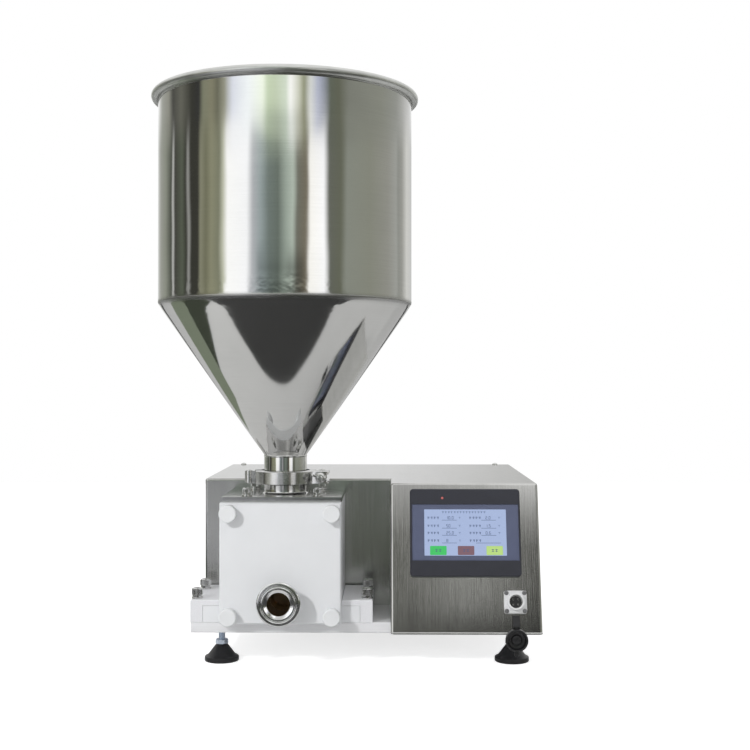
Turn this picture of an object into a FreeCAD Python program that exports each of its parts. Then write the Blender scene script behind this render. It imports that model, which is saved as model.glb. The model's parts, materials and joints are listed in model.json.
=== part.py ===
import FreeCAD, Part
import math
import os
from FreeCAD import Rotation, Vector

os.makedirs("parts", exist_ok=True)

# Bench-top piston filler for liquids and pastes: a hopper clamped to a plastic valve block,
# a cylinder and ball-screw drive behind the block, and a control box to its right.
# All sizes in mm. Working frame: x = 0 is the hopper's axis, y = 0 the base plate's front edge,
# z = 0 the floor, +y to the back. Everything is moved by ORIGIN when it is written.
ORIGIN = Vector(-70, -139.5, 0)

# ---- fits
RUN = 0.06          # radial running clearance
SEAT = 0.1          # gap round pieces that are fixed to each other
GAP = 0.3           # gap between separate flat or soft pieces

# ---- base plate
LEFT, RIGHT = -104.0, 298.0
BACK = 375.0
PLATE_Z, PLATE_T = 38.5, 12.0
PLATE_TOP = PLATE_Z + PLATE_T
PLATE_EDGE = 1.0

# ---- housing of folded sheet
SHEET = 1.5
FOLD_R = 3.0
HOUSING_TOP = 206.5
RECESS_Y = 113.0
BOX_LEFT = 125.0
PANEL_FOOT_Y, PANEL_HEAD_Y = -8.0, 41.0
REAR_BORDER = 16.0
REAR_PANEL_INSET = 6.0
PANEL_LEAN = math.degrees(math.atan2(PANEL_HEAD_Y - PANEL_FOOT_Y, HOUSING_TOP - PLATE_Z))

# ---- touch screen
SCREEN_X, SCREEN_Z = 211.7, 150.0
BEZEL_W, BEZEL_H, BEZEL_PROUD = 128.0, 102.0, 6.0
CASE_W, CASE_H, CASE_DEEP = 118.0, 92.0, 32.0
WINDOW_W, WINDOW_H, WINDOW_DEEP = 124.0, 65.6, 1.2
GLASS_T = 1.8

# ---- pedal socket and its dust cap
SOCKET_X, SOCKET_Z = 267.8, 73.6
SOCKET_FLANGE, SOCKET_FLANGE_T, SOCKET_PITCH = 26.0, 2.6, 10.3
BARREL_R, BARREL_WALL, BARREL_PROUD, INSERT_BACK = 9.7, 2.0, 7.0, 5.2
STRAP_W, STRAP_T = 8.3, 2.0
CAP_R, CAP_T, CAP_Z = 12.7, 9.0, 33.4

# ---- feet
FOOT_XS = (-72.3, 266.5)
FOOT_YS = (32.0, 341.0)
PAD_R, PAD_RIM, PAD_H, PAD_TOP_R = 20.0, 5.0, 19.5, 7.4
STUD_R = 4.0
STUD_FOOT = 12.0
FOOT_NUT_AF, FOOT_NUT_H = 13.0, 5.5
STUD_TRAVEL = 6.0

# ---- valve block, cover and gibs
BLOCK_X, BLOCK_Y, BLOCK_TOP = 69.0, 112.7, 187.5
TOE_X, TOE_H, TOE_Y = 90.0, 18.9, 106.0
BLOCK_SEAM_Z, BLOCK_SEAM = 119.5, 0.02
GIB_X, GIB_TOP, GIB_LIP = 104.4, 76.0, 6.3
GIB_BOLT_X, GIB_BOLT_YS = 98.2, (13.0, 78.0)
COVER_T, COVER_Z0, COVER_Z1 = 16.0, 51.5, 188.2
COVER_EDGE = 1.5
KNOB_R, KNOB_T = 10.0, 10.8
KNOB_X, KNOB_ZS = 58.5, (60.5, 177.0)
KNOB_WASHER_T = 1.2
KNOB_SCREW_R, KNOB_SCREW_DEEP = 3.0, 13.0

# ---- product path
AXIS_Y = 58.0
VALVE_Z, VALVE_R, VALVE_DEEP = 150.0, 22.0, 95.0
THROAT_R, PORT_R, PLUG_PORT_R = 19.0, 10.0, 13.0
OUTLET_PORT_Y, OUTLET_Z, OUTLET_R, OUTLET_DEEP = 20.0, 77.7, 13.0, 32.0
OUTLET_FACE_Y, OUTLET_RIM_R, OUTLET_TUBE_R = -40.0, 25.25, 15.0
STEM_R = 7.0

# ---- cylinder and piston
CYL_Z, CYL_R, SLEEVE_R = 88.0, 25.0, 29.0
SLEEVE_Y0, SLEEVE_Y1 = 47.0, 175.0
PISTON_Y, PISTON_T = 69.0, 25.0
ROD_R = 8.0

# ---- drive
FRONT_PLATE_Y, REAR_PLATE_Y, DRIVE_PLATE_T = 116.0, 300.0, 8.0
HEAD_Y, HEAD_T = 182.0, 30.0
GUIDE_X, GUIDE_R = 50.0, 6.0
SCREW_Z, SCREW_R = 135.0, 8.0
BELT_PITCH, SCREW_TEETH, MOTOR_TEETH, CENTRES = 5.0, 30, 20, 187.3
BELT_W, BELT_T = 15.0, 1.8
PULLEY_Y = 311.0

# ---- hopper, neck and clamp
TOP_PLATE_T = 6.5
TOP_BOLT_X, TOP_BOLT_YS = 41.0, (13.0, 100.0)
HOPPER_R, HOPPER_SHEET = 150.0, 1.5
CONE_TOP, CONE_FOOT = 418.4, 239.4
RIM_Z, RIM_ROLL = 661.0, 5.0
NECK_R, NECK_WALL = 25.4, 1.5
FERRULE_R, FERRULE_EDGE, FERRULE_ROOT = 32.0, 2.0, 6.4
JOINT_Z, GASKET_T = 212.6, 1.2
CLAMP_R, CLAMP_Z0, CLAMP_Z1 = 36.8, 205.0, 221.0
EAR_X, EAR_Z0, EAR_Z1 = 52.0, 206.0, 220.0
PIVOT_X, PIVOT_Y, EAR_FACE_R = 43.0, 70.0, 31.0
SWING_R, EYE_R, EYE_T, SWING_LONG = 3.0, 6.0, 7.0, 47.5
CLAMP_HINGE_X, HINGE_PIN_R, KNUCKLE_R = -43.0, 2.5, 5.6


# ------------------------------------------------------------------ shapes
def block(x0, x1, y0, y1, z0, z1):
    return Part.makeBox(x1 - x0, y1 - y0, z1 - z0, Vector(x0, y0, z0))


def rod_x(y, z, r, x0, x1):
    return Part.makeCylinder(r, x1 - x0, Vector(x0, y, z), Vector(1, 0, 0))


def rod_y(x, z, r, y0, y1):
    return Part.makeCylinder(r, y1 - y0, Vector(x, y0, z), Vector(0, 1, 0))


def rod_z(x, y, r, z0, z1):
    return Part.makeCylinder(r, z1 - z0, Vector(x, y, z0), Vector(0, 0, 1))


def prism(points, along):
    """A closed outline of points, extruded by the vector along."""
    loop = Part.makePolygon([Vector(*p) for p in points] + [Vector(*points[0])])
    return Part.Face(loop).extrude(Vector(*along))


def lathe_z(profile, x, y):
    """A closed outline of (radius, z), turned about the upright axis at x, y."""
    loop = Part.makePolygon([Vector(r, 0, z) for r, z in profile + profile[:1]])
    body = Part.Face(loop).revolve(Vector(0, 0, 0), Vector(0, 0, 1), 360)
    body.translate(Vector(x, y, 0))
    return body


def lathe_y(profile, x, z):
    """A closed outline of (radius, y), turned about the level axis at x, z."""
    loop = Part.makePolygon([Vector(r, y, 0) for r, y in profile + profile[:1]])
    body = Part.Face(loop).revolve(Vector(0, 0, 0), Vector(0, 1, 0), 360)
    body.translate(Vector(x, 0, z))
    return body


def hexagon_z(x, y, across_flats, z0, z1):
    r = across_flats / math.sqrt(3)
    corners = [math.radians(60 * n) for n in range(6)]
    outline = [(x + r * math.cos(a), y + r * math.sin(a), z0) for a in corners]
    return prism(outline, (0, 0, z1 - z0))


def join(shapes):
    return shapes[0].fuse(shapes[1:]).removeSplitter()


def rounded(shape, radius, wanted):
    """Round the edges for which wanted(edge) holds."""
    return shape.makeFillet(radius, [e for e in shape.Edges if wanted(e)])


def bevelled(shape, size, wanted):
    return shape.makeChamfer(size, [e for e in shape.Edges if wanted(e)])


def on_axis(edge, axis):
    """Is a straight edge parallel to the axis 0, 1 or 2?"""
    a, b = edge.Vertexes[0].Point, edge.Vertexes[-1].Point
    return all(abs(a[n] - b[n]) < 1e-6 for n in range(3) if n != axis) and abs(a[axis] - b[axis]) > 1e-6


def all_at(edge, axis, value):
    return all(abs(v.Point[axis] - value) < 1e-6 for v in edge.Vertexes)


def write(name, solids):
    solids = solids if isinstance(solids, list) else [solids]
    moved = []
    for solid in solids:
        copy = solid.copy()
        copy.translate(ORIGIN)
        moved.append(copy)
    shape = moved[0] if len(moved) == 1 else Part.makeCompound(moved)
    shape.exportStep("parts/%s.step" % name)


def socket_screw(x, y, z, r, head_r, head_h, shank, key_af, flat, split):
    """A socket-head screw standing on z with a flat and a split washer under its head."""
    z1 = z + flat[1]
    z2 = z1 + split[1]
    washer = rod_z(x, y, flat[0], z, z1).cut(rod_z(x, y, r + SEAT, z, z1))
    ring = rod_z(x, y, split[0], z1, z2).cut(rod_z(x, y, r + SEAT, z1, z2))
    ring = ring.cut(block(x, x + split[0] + 1, y - 0.4, y + 0.4, z1, z2))
    head_top = z2 + head_h
    head = lathe_z(
        [(0, z2), (head_r, z2), (head_r, head_top - 0.6), (head_r - 0.6, head_top), (0, head_top)], x, y
    )
    key = hexagon_z(x, y, key_af, z2 + head_h * 0.4, head_top)
    screw = join([head, rod_z(x, y, r, z - shank, z2)]).cut(key)
    return [washer, ring, screw]


# ------------------------------------------------------------------ base plate, gibs, feet
inner_left, inner_right = LEFT + SHEET + SEAT, RIGHT - SHEET - SEAT
inner_back = BACK - SHEET - SEAT
plate = join(
    [
        block(inner_left, inner_right, 0, inner_back, PLATE_Z, PLATE_TOP),
        block(LEFT, 0, 0, RECESS_Y - SEAT, PLATE_Z, PLATE_TOP),
    ]
)
plate = bevelled(plate, PLATE_EDGE, lambda e: on_axis(e, 0) and all_at(e, 1, 0))
for fx in FOOT_XS:
    for fy in FOOT_YS:
        plate = plate.cut(rod_z(fx, fy, STUD_R + RUN, PLATE_Z, PLATE_TOP))
for side in (-1, 1):
    for by in GIB_BOLT_YS:
        plate = plate.cut(rod_z(side * GIB_BOLT_X, by, 4 + SEAT, PLATE_Z, PLATE_TOP))
write("base_plate", plate)

gib_bolts = []
for side, name in ((-1, "gib_left"), (1, "gib_right")):
    near, seam, far = side * (BLOCK_X + GAP), side * (TOE_X + GAP), side * GIB_X
    lip_z = GIB_TOP - GIB_LIP
    outline = [
        (near, 0, lip_z),
        (near, 0, GIB_TOP),
        (far, 0, GIB_TOP),
        (far, 0, PLATE_TOP),
        (seam, 0, PLATE_TOP),
        (seam, 0, lip_z),
    ]
    gib = prism(outline, (0, TOE_Y, 0))
    gib = bevelled(gib, 0.8, lambda e: all_at(e, 2, GIB_TOP))
    for by in GIB_BOLT_YS:
        gib = gib.cut(rod_z(side * GIB_BOLT_X, by, 4 + SEAT, PLATE_TOP, GIB_TOP))
        gib_bolts += socket_screw(
            side * GIB_BOLT_X, by, GIB_TOP, 4, 6.5, 8, GIB_TOP - PLATE_Z - 1, 6, (6.7, 1.6), (6.2, 2.2)
        )
    write(name, gib)
write("gib_bolts", gib_bolts)

pad_profile = [
    (0, 0),
    (PAD_R - 1, 0),
    (PAD_R, 1),
    (PAD_R, PAD_RIM),
    (PAD_R - 1.5, PAD_RIM + 1.2),
    (PAD_TOP_R + 1.5, PAD_H - 2.2),
    (PAD_TOP_R, PAD_H),
    (0, PAD_H),
]
stud_top = PLATE_TOP - SEAT
for fx, fx_name in zip(FOOT_XS, ("left", "right")):
    for fy, fy_name in zip(FOOT_YS, ("front", "rear")):
        corner = "%s_%s" % (fy_name, fx_name)
        pad = lathe_z(pad_profile, fx, fy).cut(rod_z(fx, fy, STUD_R + RUN, STUD_FOOT - GAP, PAD_H))
        nut_z = PAD_H + GAP
        nut_rim = FOOT_NUT_AF / math.sqrt(3)
        nut = hexagon_z(fx, fy, FOOT_NUT_AF, nut_z, nut_z + FOOT_NUT_H)
        nut_round = [
            (0, nut_z),
            (nut_rim - 0.8, nut_z),
            (nut_rim, nut_z + 0.5),
            (nut_rim, nut_z + FOOT_NUT_H - 0.5),
            (nut_rim - 0.8, nut_z + FOOT_NUT_H),
            (0, nut_z + FOOT_NUT_H),
        ]
        nut = nut.common(lathe_z(nut_round, fx, fy))
        write("foot_pad_" + corner, pad)
        write("foot_stud_" + corner, join([rod_z(fx, fy, STUD_R, STUD_FOOT, stud_top), nut]))


# ------------------------------------------------------------------ housing
def panel_y(z):
    """Where the leaning front panel's outside is at height z."""
    return PANEL_FOOT_Y + (z - PLATE_Z) * (PANEL_HEAD_Y - PANEL_FOOT_Y) / (HOUSING_TOP - PLATE_Z)


def housing_block(inset, foot_z):
    """The housing's outside moved inwards by inset, open downwards to foot_z."""
    radius = FOLD_R - inset
    x0, x1, xb = LEFT + inset, RIGHT - inset, BOX_LEFT + inset
    y1, yr = BACK - inset, RECESS_Y + inset
    z1 = HOUSING_TOP - inset
    lean = inset / math.cos(math.radians(PANEL_LEAN))
    foot_y, head_y = panel_y(foot_z) + lean, panel_y(z1) + lean
    outline = [(x0, yr), (xb, yr), (xb, foot_y), (x1, foot_y), (x1, y1), (x0, y1)]
    body = prism([(x, y, foot_z) for x, y in outline], (0, 0, z1 - foot_z))
    wedge = [(xb, foot_y, foot_z), (xb, head_y, z1), (xb, foot_y - 9, z1 + 1), (xb, foot_y - 9, foot_z)]
    body = body.cut(prism(wedge, (x1 - xb, 0, 0)))

    def folded(edge):
        a, b = edge.Vertexes[0].Point, edge.Vertexes[-1].Point
        middle = (a + b) * 0.5
        top = all_at(edge, 2, z1)
        inside_corner = abs(middle.x - xb) < 1e-6 and abs(middle.y - yr) < 1e-6
        upright = abs(a.z - b.z) > 1
        return top or (upright and not inside_corner)

    return rounded(body, radius, folded)


skin = housing_block(0, PLATE_Z).cut(housing_block(SHEET, PLATE_Z - 10))
plate_room = join(
    [
        block(inner_left - SEAT, inner_right + SEAT, 0, inner_back, 0, PLATE_TOP + SEAT),
        block(LEFT - 1, 0, 0, RECESS_Y - SEAT, 0, PLATE_TOP + SEAT),
    ]
)
skin = skin.cut(plate_room)
rear_window = block(
    LEFT + REAR_BORDER, RIGHT - REAR_BORDER, BACK - 5, BACK + 5, PLATE_TOP + 6, HOUSING_TOP - REAR_BORDER
)
skin = skin.cut(rear_window)
skin = skin.cut(rod_y(0, CYL_Z, SLEEVE_R + GAP, RECESS_Y - 1, RECESS_Y + 4))
skin = skin.cut(rod_y(0, VALVE_Z, STEM_R + 2, RECESS_Y - 1, RECESS_Y + 4))


def on_panel(shape, x, z):
    """Put a shape drawn at the origin (x right, y inwards, z up) on the leaning panel."""
    placed = shape.copy()
    placed.rotate(Vector(0, 0, 0), Vector(1, 0, 0), -PANEL_LEAN)
    placed.translate(Vector(x, panel_y(z), z))
    return placed


def centred(w, h, y0, y1, x=0, z=0):
    """A block w wide and h high about x, z, from y0 to y1."""
    return block(x - w / 2, x + w / 2, y0, y1, z - h / 2, z + h / 2)


skin = skin.cut(on_panel(centred(CASE_W + 1, CASE_H + 1, -4, 6), SCREEN_X, SCREEN_Z))
skin = skin.cut(on_panel(rod_y(0, 0, BARREL_R - 0.5, -4, 6), SOCKET_X, SOCKET_Z))
for sx in (-1, 1):
    for sz in (-1, 1):
        hole = rod_y(sx * SOCKET_PITCH, sz * SOCKET_PITCH, 1.5 + SEAT, -4, 6)
        skin = skin.cut(on_panel(hole, SOCKET_X, SOCKET_Z))

# rear panel screws, and two on top near the rear edge
rear_x0, rear_x1 = LEFT + REAR_PANEL_INSET, RIGHT - REAR_PANEL_INSET
rear_z0, rear_z1 = PLATE_TOP - 4, HOUSING_TOP - REAR_PANEL_INSET
rear_screw_xs = (rear_x0 + 6, (rear_x0 + rear_x1) / 2, rear_x1 - 6)
rear_screw_zs = (rear_z0 + 6, rear_z1 - 6)
top_screw_xs = (LEFT + 18, RIGHT - 22)
top_screw_y = BACK - 7


def button_screw(r, head_r, head_h, shank):
    """A domed screw with its seat at the origin and its head towards +y."""
    profile = [
        (0, 0),
        (head_r, 0),
        (head_r, head_h * 0.25),
        (head_r * 0.86, head_h * 0.66),
        (head_r * 0.6, head_h * 0.92),
        (head_r * 0.4, head_h),
        (0, head_h),
    ]
    screw = join([lathe_y(profile, 0, 0), rod_y(0, 0, r, -shank, 0)])
    key = hexagon_z(0, 0, head_r * 0.6, head_h * 0.35, head_h + 1)
    key.rotate(Vector(0, 0, 0), Vector(1, 0, 0), -90)
    return screw.cut(key)


screws = []
rear_panel = block(rear_x0, rear_x1, BACK, BACK + SHEET, rear_z0, rear_z1)
rear_panel = rounded(rear_panel, 4, lambda e: on_axis(e, 1))
for sx in rear_screw_xs:
    for sz in rear_screw_zs:
        hole = rod_y(sx, sz, 2 + SEAT, BACK - 5, BACK + 5)
        skin = skin.cut(hole)
        rear_panel = rear_panel.cut(hole)
        screw = button_screw(2, 3.8, 2.3, 6)
        screw.translate(Vector(sx, BACK + SHEET, sz))
        screws.append(screw)
for sx in top_screw_xs:
    skin = skin.cut(rod_z(sx, top_screw_y, 2 + SEAT, HOUSING_TOP - 5, HOUSING_TOP + 1))
    screw = button_screw(2, 3.8, 2.3, 6)
    screw.rotate(Vector(0, 0, 0), Vector(1, 0, 0), 90)
    screw.translate(Vector(sx, top_screw_y, HOUSING_TOP))
    screws.append(screw)
write("housing_cover", skin)
write("cover_screws", screws)

# ventilation slots and the power inlet's cut-out
VENT_W, VENT_H, VENT_PITCH, VENT_COUNT = 60.0, 4.0, 9.0, 8
for vx in (-10.0, 90.0):
    for row in range(VENT_COUNT):
        vz = 92 + row * VENT_PITCH
        slot = centred(VENT_W, VENT_H, BACK - 1, BACK + 3, vx, vz)
        slot = rounded(slot, VENT_H / 2 - 0.05, lambda e: on_axis(e, 1))
        rear_panel = rear_panel.cut(slot)
INLET_X, INLET_Z, INLET_W, INLET_H, INLET_BODY_W, INLET_BODY_H = 232.0, 95.0, 30.0, 58.0, 27.0, 47.0
INLET_PROUD, INLET_DEEP = 2.6, 26.0
rear_panel = rear_panel.cut(
    centred(INLET_BODY_W + 2 * SEAT, INLET_BODY_H + 2 * SEAT, BACK - 1, BACK + 3, INLET_X, INLET_Z)
)
write("rear_panel", rear_panel)

face_y = BACK + SHEET
flange = centred(INLET_W, INLET_H, face_y, face_y + INLET_PROUD, INLET_X, INLET_Z)
flange = rounded(flange, 3, lambda e: on_axis(e, 1))
inlet_back = centred(INLET_BODY_W, INLET_BODY_H, face_y - INLET_DEEP, face_y, INLET_X, INLET_Z)
inlet = join([flange, inlet_back])
SOCKET_W, SOCKET_H, SOCKET_DEEP = 20.0, 14.5, 17.0
well_z = INLET_Z - 10
well = centred(SOCKET_W, SOCKET_H, face_y - SOCKET_DEEP, face_y + 5, INLET_X, well_z)
well = bevelled(well, 3.2, lambda e: on_axis(e, 1) and e.Vertexes[0].Point.z > well_z)
inlet = inlet.cut(well)
PIN_W, PIN_H, PIN_SHORT = 2.0, 4.0, 3.0
for px, pz in ((-7, -2), (0, 2), (7, -2)):
    pin = centred(PIN_W, PIN_H, face_y - SOCKET_DEEP, face_y - PIN_SHORT, INLET_X + px, well_z + pz)
    inlet = inlet.fuse(pin)
ROCKER_Z, ROCKER_W, ROCKER_H = INLET_Z + 13, 19.0, 13.0
ROCKER_ROOM, ROCKER_DEEP = 1.2, 12.0
rocker_y = face_y - 1.0
rocker_well = centred(
    ROCKER_W + 2 * GAP, ROCKER_H + 2 * ROCKER_ROOM, face_y - ROCKER_DEEP, face_y + 5, INLET_X, ROCKER_Z
)
inlet = inlet.cut(rocker_well)
write("power_inlet", inlet.removeSplitter())

ROCKER_TILT = 9.0
rocker_side = [
    (-ROCKER_W / 2, -3, -ROCKER_H / 2 + 1),
    (-ROCKER_W / 2, 2.6, -ROCKER_H / 2),
    (-ROCKER_W / 2, 1.7, 0),
    (-ROCKER_W / 2, 2.6, ROCKER_H / 2),
    (-ROCKER_W / 2, -3, ROCKER_H / 2 - 1),
]
rocker = prism(rocker_side, (ROCKER_W, 0, 0))
rocker.rotate(Vector(0, 0, 0), Vector(1, 0, 0), ROCKER_TILT)
rocker.translate(Vector(INLET_X, rocker_y, ROCKER_Z))
write("rocker_switch", rocker)

# ------------------------------------------------------------------ touch screen
bezel = centred(BEZEL_W, BEZEL_H, -BEZEL_PROUD, 0)
bezel = rounded(bezel, 4, lambda e: on_axis(e, 1))
bezel = bevelled(bezel, 1.2, lambda e: all_at(e, 1, -BEZEL_PROUD))
case = centred(CASE_W, CASE_H, 0, CASE_DEEP - BEZEL_PROUD)
bezel = join([bezel, case])
bezel = bezel.cut(centred(WINDOW_W, WINDOW_H, -BEZEL_PROUD - 1, GLASS_T + WINDOW_DEEP - BEZEL_PROUD))
write("screen_housing", on_panel(bezel, SCREEN_X, SCREEN_Z))
glass = centred(
    WINDOW_W - 2 * SEAT, WINDOW_H - 2 * SEAT, WINDOW_DEEP - BEZEL_PROUD, GLASS_T + WINDOW_DEEP - BEZEL_PROUD
)
write("screen_glass", on_panel(glass, SCREEN_X, SCREEN_Z))

# ------------------------------------------------------------------ pedal socket
shell = centred(SOCKET_FLANGE, SOCKET_FLANGE, -SOCKET_FLANGE_T, 0)
shell = rounded(shell, 2.5, lambda e: on_axis(e, 1))
shell = bevelled(shell, 0.5, lambda e: all_at(e, 1, -SOCKET_FLANGE_T))
barrel_front = -SOCKET_FLANGE_T - BARREL_PROUD
shell = join([shell, rod_y(0, 0, BARREL_R, barrel_front, 0), rod_y(0, 0, BARREL_R - 0.8, 0, 12)])
shell = shell.cut(rod_y(0, 0, BARREL_R - BARREL_WALL, barrel_front, 12))
socket_screws = []
for sx in (-1, 1):
    for sz in (-1, 1):
        px, pz = sx * SOCKET_PITCH, sz * SOCKET_PITCH
        shell = shell.cut(rod_y(px, pz, 1.5 + SEAT, -SOCKET_FLANGE_T, 0))
        screw = button_screw(1.5, 2.6, 1.7, SOCKET_FLANGE_T + 5)
        screw.rotate(Vector(0, 0, 0), Vector(1, 0, 0), 180)
        screw.translate(Vector(px, -SOCKET_FLANGE_T, pz))
        socket_screws.append(on_panel(screw, SOCKET_X, SOCKET_Z))
write("socket_shell", on_panel(shell, SOCKET_X, SOCKET_Z))
write("socket_screws", socket_screws)
insert = rod_y(0, 0, BARREL_R - BARREL_WALL - SEAT, barrel_front + INSERT_BACK, 11)
CONTACT_CIRCLE, CONTACT_R, CONTACT_DEEP = 4.0, 1.1, 5.0
insert_face = barrel_front + INSERT_BACK
for n in range(4):
    a = math.radians(45 + 90 * n)
    cx, cz = CONTACT_CIRCLE * math.cos(a), CONTACT_CIRCLE * math.sin(a)
    insert = insert.cut(rod_y(cx, cz, CONTACT_R, barrel_front, insert_face + CONTACT_DEEP))
insert = insert.cut(block(-1, 1, barrel_front, insert_face + 3, 6.1, 9))
write("socket_insert", on_panel(insert, SOCKET_X, SOCKET_Z))

# the strap hangs from the flange's lower edge and bends out over the panel's foot
strap_top = SOCKET_Z - SOCKET_FLANGE / 2 - 1.0
strap_y = panel_y(strap_top) - 0.8
cap_back = PANEL_FOOT_Y - 1.2
cap_front = cap_back - CAP_T
strap_side = [
    (strap_y - STRAP_T, strap_top),
    (strap_y, strap_top),
    (cap_back, CAP_Z + CAP_R + 2),
    (cap_back, CAP_Z + CAP_R - 3),
    (cap_back - STRAP_T, CAP_Z + CAP_R - 3),
    (cap_back - STRAP_T, CAP_Z + CAP_R + 3),
]
strap = prism([(SOCKET_X - STRAP_W / 2, y, z) for y, z in strap_side], (STRAP_W, 0, 0))
cap_profile = [
    (0, cap_back),
    (CAP_R - 1, cap_back),
    (CAP_R, cap_back - 1),
    (CAP_R, cap_front + 0.8),
    (CAP_R - 0.8, cap_front),
    (CAP_R - 2.4, cap_front),
    (CAP_R - 2.6, cap_back - 2.5),
    (5.5, cap_back - 2.5),
    (5.2, cap_back - 5.5),
    (0, cap_back - 5.5),
]
tab = block(SOCKET_X - 2.5, SOCKET_X + 2.5, cap_back - 2.4, cap_back, CAP_Z - CAP_R - 7, CAP_Z - CAP_R + 2)
tab = rounded(tab, 2.4, lambda e: on_axis(e, 1) and e.Vertexes[0].Point.z < CAP_Z - CAP_R)
write("dust_cap", join([lathe_y(cap_profile, SOCKET_X, CAP_Z), strap, tab]))

# ------------------------------------------------------------------ valve block and cover
valve_block = join(
    [
        block(-BLOCK_X, BLOCK_X, 0, BLOCK_Y, PLATE_TOP, BLOCK_TOP),
        block(-TOE_X, TOE_X, 0, TOE_Y, PLATE_TOP, PLATE_TOP + TOE_H),
    ]
)
neck_in = NECK_R - NECK_WALL
throat = [
    (0, VALVE_Z),
    (THROAT_R, VALVE_Z),
    (THROAT_R, BLOCK_TOP - 8),
    (neck_in, BLOCK_TOP),
    (0, BLOCK_TOP),
]
valve_block = valve_block.cut(rod_y(0, VALVE_Z, VALVE_R, 0, VALVE_DEEP))
valve_block = valve_block.cut(lathe_z(throat, 0, AXIS_Y))
valve_block = valve_block.cut(rod_z(0, AXIS_Y, PORT_R, CYL_Z, VALVE_Z))
valve_block = valve_block.cut(rod_z(0, OUTLET_PORT_Y, PORT_R, OUTLET_Z, VALVE_Z))
valve_block = valve_block.cut(rod_y(0, OUTLET_Z, OUTLET_R, 0, OUTLET_DEEP))
valve_block = valve_block.cut(rod_y(0, CYL_Z, SLEEVE_R + SEAT, SLEEVE_Y0, BLOCK_Y))
valve_block = valve_block.cut(rod_y(0, VALVE_Z, STEM_R + GAP, VALVE_DEEP, BLOCK_Y))
front_foot = (FOOT_XS[0], FOOT_YS[0])
valve_block = valve_block.cut(rod_z(*front_foot, STUD_R + 0.6, PLATE_TOP, PLATE_TOP + STUD_TRAVEL + 2))

cover = block(-BLOCK_X, BLOCK_X, -COVER_T, -SEAT, COVER_Z0, COVER_Z1)
cover = bevelled(cover, COVER_EDGE, lambda e: all_at(e, 1, -COVER_T))
cover = cover.cut(rod_y(0, OUTLET_Z, OUTLET_TUBE_R + SEAT, -COVER_T, 0))
FLANGE_R, FLANGE_T = 21.0, 3.0
cover = cover.cut(rod_y(0, OUTLET_Z, FLANGE_R + SEAT, -FLANGE_T - SEAT, 0))
knob_number = 0
for kx in (-KNOB_X, KNOB_X):
    for kz in KNOB_ZS:
        knob_number += 1
        valve_block = valve_block.cut(rod_y(kx, kz, KNOB_SCREW_R + RUN, 0, KNOB_SCREW_DEEP + 3))
        cover = cover.cut(rod_y(kx, kz, KNOB_SCREW_R + GAP, -COVER_T, 0))
        washer_y = -COVER_T - KNOB_WASHER_T
        washer = rod_y(kx, kz, KNOB_R - 0.4, washer_y, -COVER_T - 0.02)
        washer = washer.cut(rod_y(kx, kz, KNOB_SCREW_R + RUN, washer_y, -COVER_T))
        write("knob_washer_%d" % knob_number, washer)
        knob_y = washer_y - 0.05
        front_y = knob_y - KNOB_T
        knob_profile = [
            (0, front_y),
            (KNOB_R - 0.8, front_y),
            (KNOB_R, front_y + 0.8),
            (KNOB_R, knob_y - 0.5),
            (KNOB_R - 0.5, knob_y),
            (KNOB_SCREW_R, knob_y),
            (KNOB_SCREW_R, KNOB_SCREW_DEEP - 1),
            (KNOB_SCREW_R - 1, KNOB_SCREW_DEEP),
            (0, KNOB_SCREW_DEEP),
        ]
        write("thumb_screw_%d" % knob_number, lathe_y(knob_profile, kx, kz))
write("valve_cover", cover)

for bx in (-TOP_BOLT_X, TOP_BOLT_X):
    for by in TOP_BOLT_YS:
        valve_block = valve_block.cut(rod_z(bx, by, 3 + SEAT, BLOCK_TOP - 18, BLOCK_TOP))
# it is bolted together from a pump half, a valve half above it, and a strip along each side of its foot
block_pieces = [
    block(-BLOCK_X, BLOCK_X, 0, BLOCK_Y, PLATE_TOP, BLOCK_SEAM_Z - BLOCK_SEAM),
    block(-BLOCK_X, BLOCK_X, 0, BLOCK_Y, BLOCK_SEAM_Z, BLOCK_TOP),
    block(-TOE_X, -BLOCK_X - BLOCK_SEAM, 0, TOE_Y, PLATE_TOP, PLATE_TOP + TOE_H),
    block(BLOCK_X + BLOCK_SEAM, TOE_X, 0, TOE_Y, PLATE_TOP, PLATE_TOP + TOE_H),
]
write("valve_block", [valve_block.common(room) for room in block_pieces])

ferrule_profile = [
    (OUTLET_R, -SEAT),
    (OUTLET_R, OUTLET_FACE_Y),
    (18.2, OUTLET_FACE_Y),
    (18.2, OUTLET_FACE_Y + 1.4),
    (21.2, OUTLET_FACE_Y + 1.4),
    (21.2, OUTLET_FACE_Y),
    (OUTLET_RIM_R - 0.5, OUTLET_FACE_Y),
    (OUTLET_RIM_R, OUTLET_FACE_Y + 0.5),
    (OUTLET_RIM_R, OUTLET_FACE_Y + 2.0),
    (OUTLET_TUBE_R + 1.2, OUTLET_FACE_Y + 5.4),
    (OUTLET_TUBE_R, OUTLET_FACE_Y + 6.8),
    (OUTLET_TUBE_R, -FLANGE_T - SEAT),
    (FLANGE_R, -FLANGE_T - SEAT),
    (FLANGE_R, -SEAT),
]
write("outlet_ferrule", lathe_y(ferrule_profile, 0, OUTLET_Z))

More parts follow.
